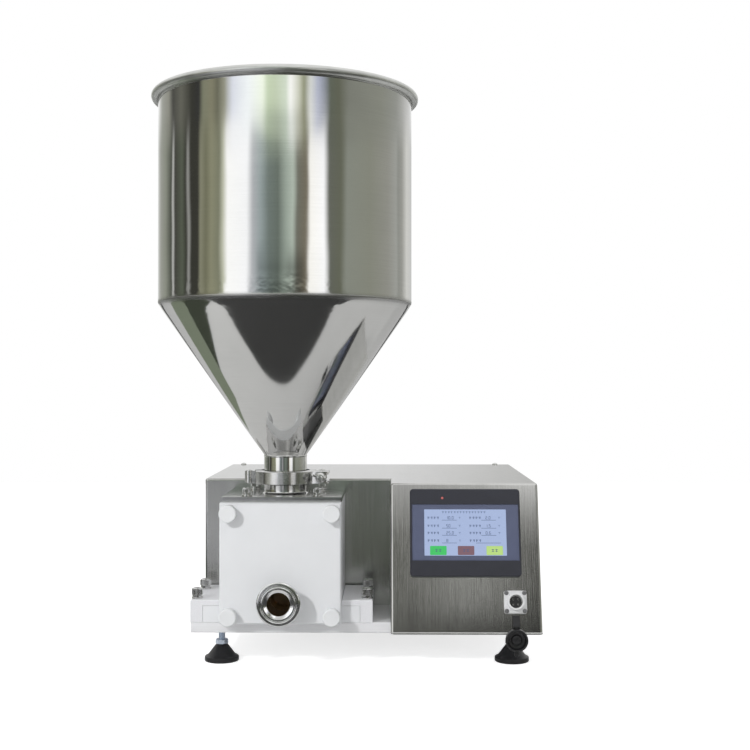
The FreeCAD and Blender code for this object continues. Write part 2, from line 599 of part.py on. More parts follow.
# ------------------------------------------------------------------ valve plug and its gearmotor
plug = rod_y(0, VALVE_Z, VALVE_R - RUN, 2, VALVE_DEEP - 1)
plug = bevelled(plug, 1, lambda e: True)
plug = plug.fuse(rod_y(0, VALVE_Z, STEM_R, VALVE_DEEP - 2, 140))
plug = plug.cut(rod_z(0, AXIS_Y, PLUG_PORT_R, VALVE_Z - VALVE_R, VALVE_Z + VALVE_R))
GROOVE_FLOOR = 16.0
groove_y0, groove_y1 = OUTLET_PORT_Y - PORT_R, AXIS_Y + PORT_R
plug = plug.cut(block(GROOVE_FLOOR, VALVE_R + 1, groove_y0, groove_y1, VALVE_Z - PORT_R, VALVE_Z + PORT_R))
write("valve_plug", plug.removeSplitter())
GEARMOTOR, GEARMOTOR_LONG = 42.0, 48.0
gear_y = FRONT_PLATE_Y + DRIVE_PLATE_T
gearmotor = centred(GEARMOTOR, GEARMOTOR, gear_y, gear_y + GEARMOTOR_LONG, 0, VALVE_Z)
gearmotor = bevelled(gearmotor, 3, lambda e: on_axis(e, 1))
gearmotor = gearmotor.cut(rod_y(0, VALVE_Z, STEM_R + RUN, gear_y, 141))
write("valve_gearmotor", gearmotor)

# ------------------------------------------------------------------ cylinder, piston and drive
sleeve = rod_y(0, CYL_Z, SLEEVE_R, SLEEVE_Y0, SLEEVE_Y1).cut(rod_y(0, CYL_Z, CYL_R, SLEEVE_Y0, SLEEVE_Y1))
sleeve = sleeve.cut(rod_z(0, AXIS_Y, PORT_R, CYL_Z, CYL_Z + SLEEVE_R + 1))
write("cylinder_sleeve", sleeve)

SEAL_FLOOR, SEAL_W = 21.0, 4.0
piston_r = CYL_R - 0.35
piston = rod_y(0, CYL_Z, piston_r, PISTON_Y, PISTON_Y + PISTON_T)
piston = bevelled(piston, 1, lambda e: True)
seals = []
for sy in (PISTON_Y + 4, PISTON_Y + PISTON_T - 4 - SEAL_W):
    groove = rod_y(0, CYL_Z, CYL_R, sy, sy + SEAL_W).cut(rod_y(0, CYL_Z, SEAL_FLOOR, sy, sy + SEAL_W))
    piston = piston.cut(groove)
    ring = rod_y(0, CYL_Z, CYL_R - RUN, sy + SEAT, sy + SEAL_W - SEAT)
    seals.append(ring.cut(rod_y(0, CYL_Z, SEAL_FLOOR + SEAT, sy, sy + SEAL_W)))
piston = piston.cut(rod_y(0, CYL_Z, ROD_R + SEAT, PISTON_Y + 12, PISTON_Y + PISTON_T))
write("piston", piston)
write("piston_seals", seals)
write("piston_rod", rod_y(0, CYL_Z, ROD_R, PISTON_Y + 12.2, HEAD_Y + 9.8))

crosshead = block(-62, 62, HEAD_Y, HEAD_Y + HEAD_T, CYL_Z - 16, SCREW_Z + 17)
crosshead = bevelled(crosshead, 2, lambda e: on_axis(e, 1))
crosshead = crosshead.cut(rod_y(0, CYL_Z, ROD_R + SEAT, HEAD_Y, HEAD_Y + 10))
crosshead = crosshead.cut(rod_y(0, SCREW_Z, SCREW_R + RUN, HEAD_Y, HEAD_Y + HEAD_T))
for gx in (-GUIDE_X, GUIDE_X):
    crosshead = crosshead.cut(rod_y(gx, CYL_Z, GUIDE_R + RUN, HEAD_Y, HEAD_Y + HEAD_T))
write("crosshead", crosshead)

guide_y0, guide_y1 = FRONT_PLATE_Y + 4, REAR_PLATE_Y + 4
write("guide_rods", [rod_y(gx, CYL_Z, GUIDE_R, guide_y0, guide_y1) for gx in (-GUIDE_X, GUIDE_X)])
front_plate = block(-66, 66, FRONT_PLATE_Y, FRONT_PLATE_Y + DRIVE_PLATE_T, PLATE_TOP, VALVE_Z + 26)
front_plate = front_plate.cut(rod_y(0, CYL_Z, SLEEVE_R + GAP, FRONT_PLATE_Y, FRONT_PLATE_Y + DRIVE_PLATE_T))
front_plate = front_plate.cut(rod_y(0, VALVE_Z, STEM_R + 2, FRONT_PLATE_Y, FRONT_PLATE_Y + DRIVE_PLATE_T))
rear_plate = block(-70, 225, REAR_PLATE_Y, REAR_PLATE_Y + DRIVE_PLATE_T, PLATE_TOP, SCREW_Z + 45)
rear_plate = rear_plate.cut(rod_y(0, SCREW_Z, SCREW_R + RUN, REAR_PLATE_Y, REAR_PLATE_Y + DRIVE_PLATE_T))
rear_plate = rear_plate.cut(rod_y(CENTRES, SCREW_Z, 7 + 2, REAR_PLATE_Y, REAR_PLATE_Y + DRIVE_PLATE_T))
for gx in (-GUIDE_X, GUIDE_X):
    front_plate = front_plate.cut(rod_y(gx, CYL_Z, GUIDE_R + SEAT, guide_y0, guide_y0 + 10))
    rear_plate = rear_plate.cut(rod_y(gx, CYL_Z, GUIDE_R + SEAT, REAR_PLATE_Y, guide_y1))
write("drive_frame", [front_plate, rear_plate])


def pulley(teeth, x, bore_r):
    """A toothed pulley with two flanges, on the belt's line."""
    pitch_r = teeth * BELT_PITCH / (2 * math.pi)
    rim_r = pitch_r - 0.57
    y1 = PULLEY_Y + BELT_W + 1
    rim = rod_y(x, SCREW_Z, rim_r, PULLEY_Y, y1)
    for n in range(teeth):
        a = 2 * math.pi * n / teeth
        rim = rim.cut(rod_y(x + rim_r * math.cos(a), SCREW_Z + rim_r * math.sin(a), 1.5, PULLEY_Y, y1))
    flanges = [
        rod_y(x, SCREW_Z, rim_r + 3, PULLEY_Y - 1.5, PULLEY_Y),
        rod_y(x, SCREW_Z, rim_r + 3, y1, y1 + 1.5),
    ]
    return join([rim] + flanges).cut(rod_y(x, SCREW_Z, bore_r, PULLEY_Y - 2, y1 + 2))


write("ball_screw", rod_y(0, SCREW_Z, SCREW_R, HEAD_Y + 6, PULLEY_Y + BELT_W + 6))
write("screw_pulley", pulley(SCREW_TEETH, 0, SCREW_R + SEAT))
motor_shaft = rod_y(CENTRES, SCREW_Z, 7, REAR_PLATE_Y - 12, PULLEY_Y + BELT_W + 6)
write("motor_pulley", [motor_shaft, pulley(MOTOR_TEETH, CENTRES, 7 + SEAT)])


def belt_loop(extra, y0, y1):
    """The solid inside a belt line that runs extra outside both pulleys."""
    radii = [teeth * BELT_PITCH / (2 * math.pi) - 0.57 + extra for teeth in (SCREW_TEETH, MOTOR_TEETH)]
    lean = math.asin((radii[0] - radii[1]) / CENTRES)
    points = []
    for x, r in zip((0, CENTRES), radii):
        points.append((x + r * math.sin(lean), y0, SCREW_Z + r * math.cos(lean)))
    for x, r in zip((CENTRES, 0), reversed(radii)):
        points.append((x + r * math.sin(lean), y0, SCREW_Z - r * math.cos(lean)))
    middle = prism(points, (0, y1 - y0, 0))
    return join([middle] + [rod_y(x, SCREW_Z, r, y0, y1) for x, r in zip((0, CENTRES), radii)])


BELT_CLEAR = 0.15
belt_y0, belt_y1 = PULLEY_Y + 0.5, PULLEY_Y + 0.5 + BELT_W
belt = belt_loop(BELT_CLEAR + BELT_T, belt_y0, belt_y1)
write("drive_belt", belt.cut(belt_loop(BELT_CLEAR, belt_y0 - 1, belt_y1 + 1)))

SERVO, SERVO_LONG = 60.0, 100.0
servo_y = REAR_PLATE_Y - SERVO_LONG
servo = centred(SERVO, SERVO, servo_y, REAR_PLATE_Y, CENTRES, SCREW_Z)
servo = bevelled(servo, 5, lambda e: on_axis(e, 1))
servo = servo.cut(rod_y(CENTRES, SCREW_Z, 7 + RUN, REAR_PLATE_Y - 14, REAR_PLATE_Y))
write("servo_motor", servo)
SUPPLY_X0, SUPPLY_X1, SUPPLY_Y0, SUPPLY_Y1, SUPPLY_H = 233.0, 290.0, 150.0, 320.0, 42.0
supply_z1 = PLATE_TOP + SUPPLY_H
supply = block(SUPPLY_X0, SUPPLY_X1, SUPPLY_Y0, SUPPLY_Y1, PLATE_TOP, supply_z1)
terminals = block(SUPPLY_X0, SUPPLY_X1, SUPPLY_Y0, SUPPLY_Y0 + 16, PLATE_TOP + 22, supply_z1)
write("power_supply", supply.cut(terminals))

# ------------------------------------------------------------------ top plate and neck
top_z = BLOCK_TOP + TOP_PLATE_T
top_plate = block(-BLOCK_X, BLOCK_X, SEAT, BLOCK_Y, BLOCK_TOP, top_z)
top_plate = bevelled(top_plate, 0.8, lambda e: all_at(e, 2, top_z))
lower_face = JOINT_Z - GASKET_T / 2
neck_profile = [
    (neck_in, BLOCK_TOP),
    (neck_in, lower_face),
    (FERRULE_R - 0.4, lower_face),
    (FERRULE_R, lower_face - 0.4),
    (FERRULE_R, lower_face - FERRULE_EDGE),
    (NECK_R + 1.5, lower_face - FERRULE_ROOT + 1.0),
    (NECK_R, lower_face - FERRULE_ROOT),
    (NECK_R, top_z + 2.5),
    (NECK_R + 2.5, top_z),
    (NECK_R + 2.5, BLOCK_TOP),
]
top_plate = top_plate.cut(rod_z(0, AXIS_Y, NECK_R, BLOCK_TOP, top_z))
top_plate = join([top_plate, lathe_z(neck_profile, 0, AXIS_Y)])
top_bolts = []
for bx in (-TOP_BOLT_X, TOP_BOLT_X):
    for by in TOP_BOLT_YS:
        top_plate = top_plate.cut(rod_z(bx, by, 3 + SEAT, BLOCK_TOP, top_z))
        top_bolts += socket_screw(bx, by, top_z, 3, 5, 6, TOP_PLATE_T + 16, 5, (6, 1.6), (5, 1.6))
write("top_plate", top_plate)
write("top_plate_bolts", top_bolts)

# ------------------------------------------------------------------ hopper
upper_face = JOINT_Z + GASKET_T / 2
slope = math.atan2(HOPPER_R - NECK_R, CONE_TOP - CONE_FOOT)
wall = HOPPER_SHEET / math.cos(slope)
cone_profile = [
    (neck_in, upper_face),
    (FERRULE_R - 0.4, upper_face),
    (FERRULE_R, upper_face + 0.4),
    (FERRULE_R, upper_face + FERRULE_EDGE),
    (NECK_R + 1.5, upper_face + FERRULE_ROOT - 1.0),
    (NECK_R, upper_face + FERRULE_ROOT),
    (NECK_R, CONE_FOOT),
    (HOPPER_R, CONE_TOP),
    (HOPPER_R - wall, CONE_TOP),
    (neck_in, CONE_FOOT + 0.8),
]
write("hopper_cone", lathe_z(cone_profile, 0, AXIS_Y))

BEAD_W, BEAD_H = 2.4, 0.5
bowl_profile = [
    (HOPPER_R - HOPPER_SHEET, CONE_TOP + 0.02),
    (HOPPER_R, CONE_TOP + 0.02),
    (HOPPER_R + BEAD_H, CONE_TOP + BEAD_W * 0.35),
    (HOPPER_R + BEAD_H, CONE_TOP + BEAD_W * 0.75),
    (HOPPER_R, CONE_TOP + BEAD_W),
    (HOPPER_R, RIM_Z),
    (HOPPER_R - HOPPER_SHEET, RIM_Z),
]
rim_r = HOPPER_R - HOPPER_SHEET - 0.5 + RIM_ROLL
rim = Part.makeTorus(rim_r, RIM_ROLL, Vector(0, AXIS_Y, RIM_Z), Vector(0, 0, 1))
write("hopper_bowl", join([lathe_z(bowl_profile, 0, AXIS_Y), rim]))

# ------------------------------------------------------------------ clamp
gasket_profile = [
    (neck_in, lower_face + 0.02),
    (FERRULE_R - 1, lower_face + 0.02),
    (FERRULE_R - 1, upper_face - 0.02),
    (neck_in, upper_face - 0.02),
]
write("clamp_gasket", lathe_z(gasket_profile, 0, AXIS_Y))

bite_r = NECK_R + 3.4
ring_profile = [
    (bite_r, CLAMP_Z0),
    (CLAMP_R - 1, CLAMP_Z0),
    (CLAMP_R, CLAMP_Z0 + 1),
    (CLAMP_R, CLAMP_Z1 - 1),
    (CLAMP_R - 1, CLAMP_Z1),
    (bite_r, CLAMP_Z1),
    (bite_r, upper_face + FERRULE_ROOT - 0.6),
    (FERRULE_R + 0.4, upper_face + FERRULE_EDGE + 0.3),
    (FERRULE_R + 0.4, lower_face - FERRULE_EDGE - 0.3),
    (bite_r, lower_face - FERRULE_ROOT + 0.6),
]
ring = lathe_z(ring_profile, 0, AXIS_Y)
SPLIT = 1.0
far = 80.0
ring_core = rod_z(0, AXIS_Y, CLAMP_R - 0.6, CLAMP_Z0, CLAMP_Z1)
front_room = block(-far, far, AXIS_Y - far, AXIS_Y - SPLIT, CLAMP_Z0 - 1, CLAMP_Z1 + 1)
rear_room = block(-far, far, AXIS_Y + SPLIT, AXIS_Y + far, CLAMP_Z0 - 1, CLAMP_Z1 + 1)
clamp_mid = (EAR_Z0 + EAR_Z1) / 2
slot_half = EYE_T / 2 + GAP
slot_x = PIVOT_X - EYE_R - GAP

front_ear = block(20, EAR_X, AXIS_Y - 24, AXIS_Y - SPLIT, EAR_Z0, EAR_Z1)
front_ear = front_ear.common(rod_z(PIVOT_X, PIVOT_Y, EAR_FACE_R, EAR_Z0, EAR_Z1)).cut(ring_core)
bolt_half = SWING_R + GAP
slot_z0, slot_z1 = clamp_mid - bolt_half, clamp_mid + bolt_half
front_slot = block(PIVOT_X - bolt_half, EAR_X + 1, AXIS_Y - 40, AXIS_Y, slot_z0, slot_z1)
rear_ear = block(20, EAR_X, AXIS_Y + SPLIT, PIVOT_Y + 9, EAR_Z0, EAR_Z1).cut(ring_core)


def ear_corner(edge):
    """The rear ear's outer back corner."""
    foot = edge.Vertexes[0].Point
    return on_axis(edge, 2) and foot.x > EAR_X - 1 and foot.y > PIVOT_Y


rear_ear = rounded(rear_ear, 4, ear_corner)
rear_slot = block(slot_x, EAR_X + 1, AXIS_Y, PIVOT_Y + 20, clamp_mid - slot_half, clamp_mid + slot_half)


def knuckle(z0, z1):
    """A hinge knuckle with its web to the ring."""
    barrel = rod_z(CLAMP_HINGE_X, AXIS_Y, KNUCKLE_R, z0, z1)
    web = block(CLAMP_HINGE_X, -30, AXIS_Y - 4.5, AXIS_Y + 4.5, z0, z1)
    return join([barrel, web]).cut(ring_core)


third = (EAR_Z1 - EAR_Z0) / 3
front_knuckle = knuckle(EAR_Z0 + third + 0.2, EAR_Z1 - third - 0.2)
rear_knuckles = [knuckle(EAR_Z0, EAR_Z0 + third), knuckle(EAR_Z1 - third, EAR_Z1)]
hinge_bore = rod_z(CLAMP_HINGE_X, AXIS_Y, HINGE_PIN_R + RUN, EAR_Z0, EAR_Z1)
knuckle_room = rod_z(CLAMP_HINGE_X, AXIS_Y, KNUCKLE_R + GAP, CLAMP_Z0, CLAMP_Z1)
front_half = ring.common(front_room).cut(knuckle_room)
rear_half = ring.common(rear_room).cut(knuckle_room)
front_web = front_knuckle.cut(block(-far, far, AXIS_Y + KNUCKLE_R, AXIS_Y + far, 0, far * 3))
front_half = join([front_half, front_ear.cut(front_slot)])
rear_half = join([rear_half, rear_ear.cut(rear_slot)])
mid_room = block(-far, -20, AXIS_Y - 12, AXIS_Y + 12, EAR_Z0 + third - 0.1, EAR_Z1 - third + 0.1)
front_half = front_half.fuse(front_web).removeSplitter()
rear_half = rear_half.cut(mid_room)
front_half = front_half.cut(block(-far, -20, AXIS_Y - 12, AXIS_Y + 12, 0, EAR_Z0 + third + 0.1))
front_half = front_half.cut(block(-far, -20, AXIS_Y - 12, AXIS_Y + 12, EAR_Z1 - third - 0.1, far * 3))
rear_half = join([rear_half] + rear_knuckles)
pivot_bore = rod_z(PIVOT_X, PIVOT_Y, 2.5 + SEAT, CLAMP_Z0, CLAMP_Z1)
write("clamp_half_front", front_half.cut(hinge_bore))
write("clamp_half_rear", rear_half.cut(hinge_bore).cut(pivot_bore))


def rivet(x, y, r):
    """A pin with a domed head at each end."""
    profile = [
        (0, EAR_Z0 - 1.4),
        (r * 0.7, EAR_Z0 - 1.4),
        (r + 1.4, EAR_Z0 - 0.3),
        (r + 1.4, EAR_Z0 - 0.02),
        (r, EAR_Z0 - 0.02),
        (r, EAR_Z1 + 0.02),
        (r + 1.4, EAR_Z1 + 0.02),
        (r + 1.4, EAR_Z1 + 0.3),
        (r * 0.7, EAR_Z1 + 1.4),
        (0, EAR_Z1 + 1.4),
    ]
    return lathe_z(profile, x, y)


write("clamp_pins", [rivet(CLAMP_HINGE_X, AXIS_Y, HINGE_PIN_R), rivet(PIVOT_X, PIVOT_Y, 2.5)])

eye = rod_z(PIVOT_X, PIVOT_Y, EYE_R, clamp_mid - EYE_T / 2, clamp_mid + EYE_T / 2)
shank = rod_y(PIVOT_X, clamp_mid, SWING_R, PIVOT_Y - SWING_LONG, PIVOT_Y)
shank = bevelled(shank, 0.8, lambda e: all_at(e, 1, PIVOT_Y - SWING_LONG))
swing_bolt = join([eye, shank]).cut(rod_z(PIVOT_X, PIVOT_Y, 2.5 + RUN, CLAMP_Z0, CLAMP_Z1))
write("swing_bolt", swing_bolt)
washer_back = PIVOT_Y - EAR_FACE_R - GAP
washer = rod_y(PIVOT_X, clamp_mid, 6.2, washer_back - 1.5, washer_back)
washer = washer.cut(rod_y(PIVOT_X, clamp_mid, SWING_R + RUN, washer_back - 2, washer_back + 1))
write("clamp_washer", washer)

hub_back = washer_back - 1.55
hub_profile = [
    (0, hub_back),
    (6.0, hub_back),
    (6.0, hub_back - 2),
    (4.6, hub_back - 7.2),
    (0, hub_back - 7.2),
]
nut = lathe_y(hub_profile, PIVOT_X, clamp_mid)
wings = []
WING_TILT, WING_REACH, WING_T = 22.0, 12.0, 2.4
for turn in (0, 180):
    wing_face = [
        (2.0, hub_back - 1.6),
        (5.5, hub_back - 1.6),
        (WING_REACH - 1.0, hub_back - 4.5),
        (WING_REACH, hub_back - 8.0),
        (WING_REACH - 2.0, hub_back - 10.2),
        (WING_REACH - 4.6, hub_back - 9.4),
        (2.0, hub_back - 6.6),
    ]
    wing = prism([(x, y, -WING_T / 2) for x, y in wing_face], (0, 0, WING_T))
    wing.rotate(Vector(0, 0, 0), Vector(0, 1, 0), turn + WING_TILT)
    wing.translate(Vector(PIVOT_X, 0, clamp_mid))
    wings.append(wing)
nut = join([nut] + wings).cut(rod_y(PIVOT_X, clamp_mid, SWING_R + RUN, hub_back - 20, hub_back + 1))
write("wing_nut", nut)
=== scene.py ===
import json
from math import atan2, cos, pi, radians, sin
import bmesh
import bpy
from mathutils import Matrix, Vector


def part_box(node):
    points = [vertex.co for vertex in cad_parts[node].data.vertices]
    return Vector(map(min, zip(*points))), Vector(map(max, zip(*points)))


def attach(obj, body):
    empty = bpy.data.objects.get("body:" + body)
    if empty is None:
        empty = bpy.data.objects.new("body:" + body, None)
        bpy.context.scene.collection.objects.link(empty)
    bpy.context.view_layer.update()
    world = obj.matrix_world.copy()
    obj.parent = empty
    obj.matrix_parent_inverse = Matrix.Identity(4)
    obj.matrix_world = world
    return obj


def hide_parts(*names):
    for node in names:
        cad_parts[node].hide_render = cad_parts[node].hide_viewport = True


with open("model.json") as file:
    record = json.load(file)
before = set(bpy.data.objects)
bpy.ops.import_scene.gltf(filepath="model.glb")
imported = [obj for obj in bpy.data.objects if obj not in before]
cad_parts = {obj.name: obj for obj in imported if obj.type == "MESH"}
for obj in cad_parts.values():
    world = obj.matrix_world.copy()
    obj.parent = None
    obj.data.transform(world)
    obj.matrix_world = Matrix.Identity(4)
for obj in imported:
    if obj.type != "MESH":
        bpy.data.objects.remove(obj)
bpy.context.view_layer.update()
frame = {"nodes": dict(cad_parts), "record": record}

MM = 0.001
SLOT_OF = {part["node"]: part["material_slot"] for part in frame["record"]["subparts"]}


# ---- camera
def look(location, turn_left, tilt_up, focal):
    data = bpy.data.cameras.new("view")
    camera = bpy.data.objects.new("view", data)
    bpy.context.scene.collection.objects.link(camera)
    camera.location = location
    camera.rotation_euler = (radians(90 + tilt_up), 0, radians(turn_left))
    data.sensor_width = 36
    data.lens = focal
    data.clip_start, data.clip_end = 0.05, 60
    bpy.context.scene.camera = camera


look(location=(0.052, -1.5495, 0.3255), turn_left=0.60, tilt_up=0.326, focal=59.14)
bpy.context.scene.view_settings.view_transform = "Standard"


# ---- node trees
class Nodes:
    """Short calls for building a node tree."""

    def __init__(self, tree):
        self.tree = tree
        tree.nodes.clear()

    def add(self, kind, **values):
        node = self.tree.nodes.new(kind)
        for name, value in values.items():
            node.inputs[name.replace("_", " ")].default_value = value
        return node

    def feed(self, value, socket):
        """Give a socket another node's output, or a plain value."""
        if isinstance(value, bpy.types.NodeSocket):
            self.tree.links.new(value, socket)
        elif hasattr(value, "__len__") and len(value) == 3 and len(socket.default_value) == 4:
            socket.default_value = (*value, 1)
        else:
            socket.default_value = value

    def math(self, operation, a, b=0.0):
        node = self.tree.nodes.new("ShaderNodeMath")
        node.operation = operation
        self.feed(a, node.inputs[0])
        self.feed(b, node.inputs[1])
        return node.outputs[0]

    def plus(self, a, b):
        return self.math("ADD", a, b)

    def minus(self, a, b):
        return self.math("SUBTRACT", a, b)

    def times(self, a, b):
        return self.math("MULTIPLY", a, b)

    def weigh(self, a, weight_a, b, weight_b):
        """Two values added up, each times its weight."""
        return self.plus(self.times(a, weight_a), self.times(b, weight_b))

    def distance(self, x, z, axis):
        """How far a place is from a level axis, which lies at x, z."""
        dx, dz = self.minus(x, axis[0]), self.minus(z, axis[1])
        return self.math("SQRT", self.plus(self.times(dx, dx), self.times(dz, dz)))

    def ramp(self, factor, stops, interpolation="LINEAR"):
        """Colours by factor: stops are (place, colour or grey), in order."""
        node = self.tree.nodes.new("ShaderNodeValToRGB")
        node.color_ramp.interpolation = interpolation
        elements = node.color_ramp.elements
        elements.remove(elements[1])
        for number, (place, colour) in enumerate(stops):
            element = elements[0] if number == 0 else elements.new(place)
            element.position = place
            element.color = (*colour, 1) if hasattr(colour, "__len__") else (colour, colour, colour, 1)
        self.feed(factor, node.inputs[0])
        return node.outputs[0]

    def slide(self, factor, start, end, low=0.0, high=1.0):
        """Goes from low to high while the factor goes from start to end."""
        return self.ramp(factor, [(start, low), (end, high)])

    def mix(self, factor, a, b, blend="MIX"):
        node = self.tree.nodes.new("ShaderNodeMix")
        node.data_type = "RGBA"
        node.blend_type = blend
        self.feed(factor, node.inputs[0])
        self.feed(a, node.inputs[6])
        self.feed(b, node.inputs[7])
        return node.outputs[2]

    def vector(self, x, y, z):
        node = self.tree.nodes.new("ShaderNodeCombineXYZ")
        for value, socket in zip((x, y, z), node.inputs):
            self.feed(value, socket)
        return node.outputs[0]

    def split(self, vector):
        node = self.tree.nodes.new("ShaderNodeSeparateXYZ")
        self.feed(vector, node.inputs[0])
        return node.outputs

    def noise(self, vector, scale, detail=3.0, roughness=0.5):
        node = self.add("ShaderNodeTexNoise", Scale=scale, Detail=detail, Roughness=roughness)
        self.feed(vector, node.inputs["Vector"])
        return node.outputs["Fac"]


def darker(colour, share):
    return tuple(c * share for c in colour)


# ---- studio
# Panels round the studio by compass direction: 0 is the front, + is to the right. Seen low, then higher up.
LOW_PANELS = [
    (-180, 0.76), (-166, (0.8, 0.81, 0.79)), (-150, (0.44, 0.45, 0.41)),
    (-135, (0.36, 0.38, 0.32)), (-122, (0.1, 0.11, 0.09)), (-119, (0.8, 0.8, 0.78)),
    (-116, (0.08, 0.08, 0.07)), (-104, (0.14, 0.16, 0.12)), (-98, (0.06, 0.06, 0.05)),
    (-95, (0.5, 0.5, 0.48)), (-92, (0.06, 0.06, 0.05)), (-83, (0.06, 0.06, 0.05)),
    (-80, (0.36, 0.36, 0.26)), (-74, (0.24, 0.24, 0.16)), (-68, (0.38, 0.38, 0.26)),
    (-60, (0.3, 0.31, 0.22)), (-56, (0.8, 0.82, 0.66)), (-52, 1.5),
    (-34, (1.45, 1.46, 1.5)), (-29, (0.66, 0.68, 0.72)), (-22, (0.46, 0.54, 0.55)),
    (-15, (0.24, 0.29, 0.27)), (-7, (0.2, 0.24, 0.21)), (0, (0.48, 0.56, 0.49)),
    (6, (0.66, 0.75, 0.66)), (10, (0.24, 0.24, 0.2)), (18, (0.26, 0.23, 0.17)),
    (21, (1.45, 1.43, 1.38)), (34, (1.5, 1.5, 1.54)), (39, (0.19, 0.2, 0.17)),
    (50, (0.19, 0.2, 0.15)), (180, (0.95, 0.95, 0.93)),
]
HIGH_PANELS = [
    (-180, 1.05), (-160, (1.0, 1.0, 0.99)), (-145, (0.5, 0.51, 0.47)),
    (-128, (0.4, 0.4, 0.35)), (-120, (0.1, 0.1, 0.09)), (-106, (0.19, 0.19, 0.16)),
    (-92, (0.06, 0.06, 0.05)), (-82, 0.05), (-77, (0.31, 0.32, 0.23)),
    (-68, (0.34, 0.33, 0.23)), (-62, (0.22, 0.22, 0.16)), (-55, (0.46, 0.46, 0.36)),
    (-47, (1.1, 1.14, 1.28)), (-33, (1.4, 1.46, 1.5)), (-20, (1.4, 1.5, 1.3)),
    (-15, (0.9, 1.05, 0.76)), (-9, (0.86, 0.98, 0.74)), (0, (1.0, 1.12, 0.94)),
    (4, (1.5, 1.5, 1.48)), (11, (0.95, 0.97, 0.82)), (16, (0.4, 0.42, 0.27)),
    (21, (1.02, 1.04, 1.02)), (27, (0.66, 0.7, 0.88)), (33, (0.42, 0.45, 0.54)),
    (39, (0.17, 0.19, 0.15)), (48, (0.18, 0.19, 0.14)), (58, (0.3, 0.31, 0.27)),
    (95, (0.36, 0.37, 0.32)), (118, (0.43, 0.44, 0.41)), (136, (0.66, 0.66, 0.65)),
    (156, 0.85), (180, 1.05),
]
# Low, to the right and behind: what the housing's side and top show.
RIGHT_SIDE = [
    (0, (0.19, 0.2, 0.16)), (49, (0.19, 0.2, 0.15)), (56, (0.36, 0.38, 0.33)),
    (80, (0.36, 0.37, 0.31)), (104, (0.42, 0.42, 0.38)), (118, (0.5, 0.51, 0.48)),
    (122, (0.4, 0.41, 0.38)), (130, (0.46, 0.46, 0.43)), (142, (0.84, 0.84, 0.81)),
    (160, (0.68, 0.68, 0.67)), (169, (0.56, 0.56, 0.55)), (173, 0.7), (176, 0.78),
    (180, 0.76),
]
# Between the panels and the walls: dark ahead, bright to the sides.
BETWEEN = [
    (-180, (0.95, 0.95, 0.94)), (-120, (0.6, 0.6, 0.58)), (-85, (0.5, 0.5, 0.48)),
    (-60, 1.3), (-16, 1.25), (-9, (0.12, 0.12, 0.11)), (-1, (0.2, 0.2, 0.19)),
    (2, (0.03, 0.03, 0.025)), (10, 0.02), (20, (0.12, 0.12, 0.1)),
    (45, (0.4, 0.4, 0.38)), (70, 0.9), (120, 0.8), (180, (0.95, 0.95, 0.94)),
]
# Behind them, higher up: what the leaning panel shows.
WALLS = [
    (-180, 1.0), (-120, (0.75, 0.75, 0.74)), (-60, (1.1, 1.1, 1.09)),
    (-25, (1.1, 1.1, 1.09)), (-6, (0.35, 0.35, 0.33)), (0, (0.22, 0.22, 0.2)),
    (1.2, (0.02, 0.02, 0.015)), (2.2, (0.05, 0.05, 0.04)), (3.2, (0.74, 0.75, 0.72)),
    (4.8, (0.74, 0.74, 0.72)), (6.0, (0.08, 0.08, 0.07)), (8.5, (0.08, 0.08, 0.07)),
    (14, (0.12, 0.12, 0.11)), (60, (0.26, 0.26, 0.24)), (120, (0.7, 0.7, 0.68)),
    (180, 1.0),
]
# Over the walls, up to the ceiling.
UPPER_WALLS = [
    (-180, 1.0), (-100, 0.9), (-40, 0.6), (0, 0.82), (3, 0.62), (5, 0.62), (8, 1.7),
    (14, 1.5), (40, 0.5), (100, 0.8), (180, 1.0),
]
# How much is left of the low panels just over the horizon.
LOW_SHADE = [
    (-180, 1.0), (-27, 1.0), (-23, 0.42), (-14, 0.55), (-2, 0.6), (3, 0.28), (14, 0.45),
    (19, 1.0), (180, 1.0),
]
# Under the horizon, past the floor's end, and where a lighter strip stands there.
UNDER = [(-180, 0.09), (-15, 0.09), (-12.5, 0.44), (-8.5, 0.44), (-7.0, 0.09), (180, 0.09)]
FAR_LEFT = [(-180, 0.0), (-13.5, 0.0), (-12, 1.0), (-6.5, 1.0), (-3.5, 0.0), (180, 0.0)]
# The low and high panels are turned to the right by this many degrees.
PANEL_TURN = 4.7


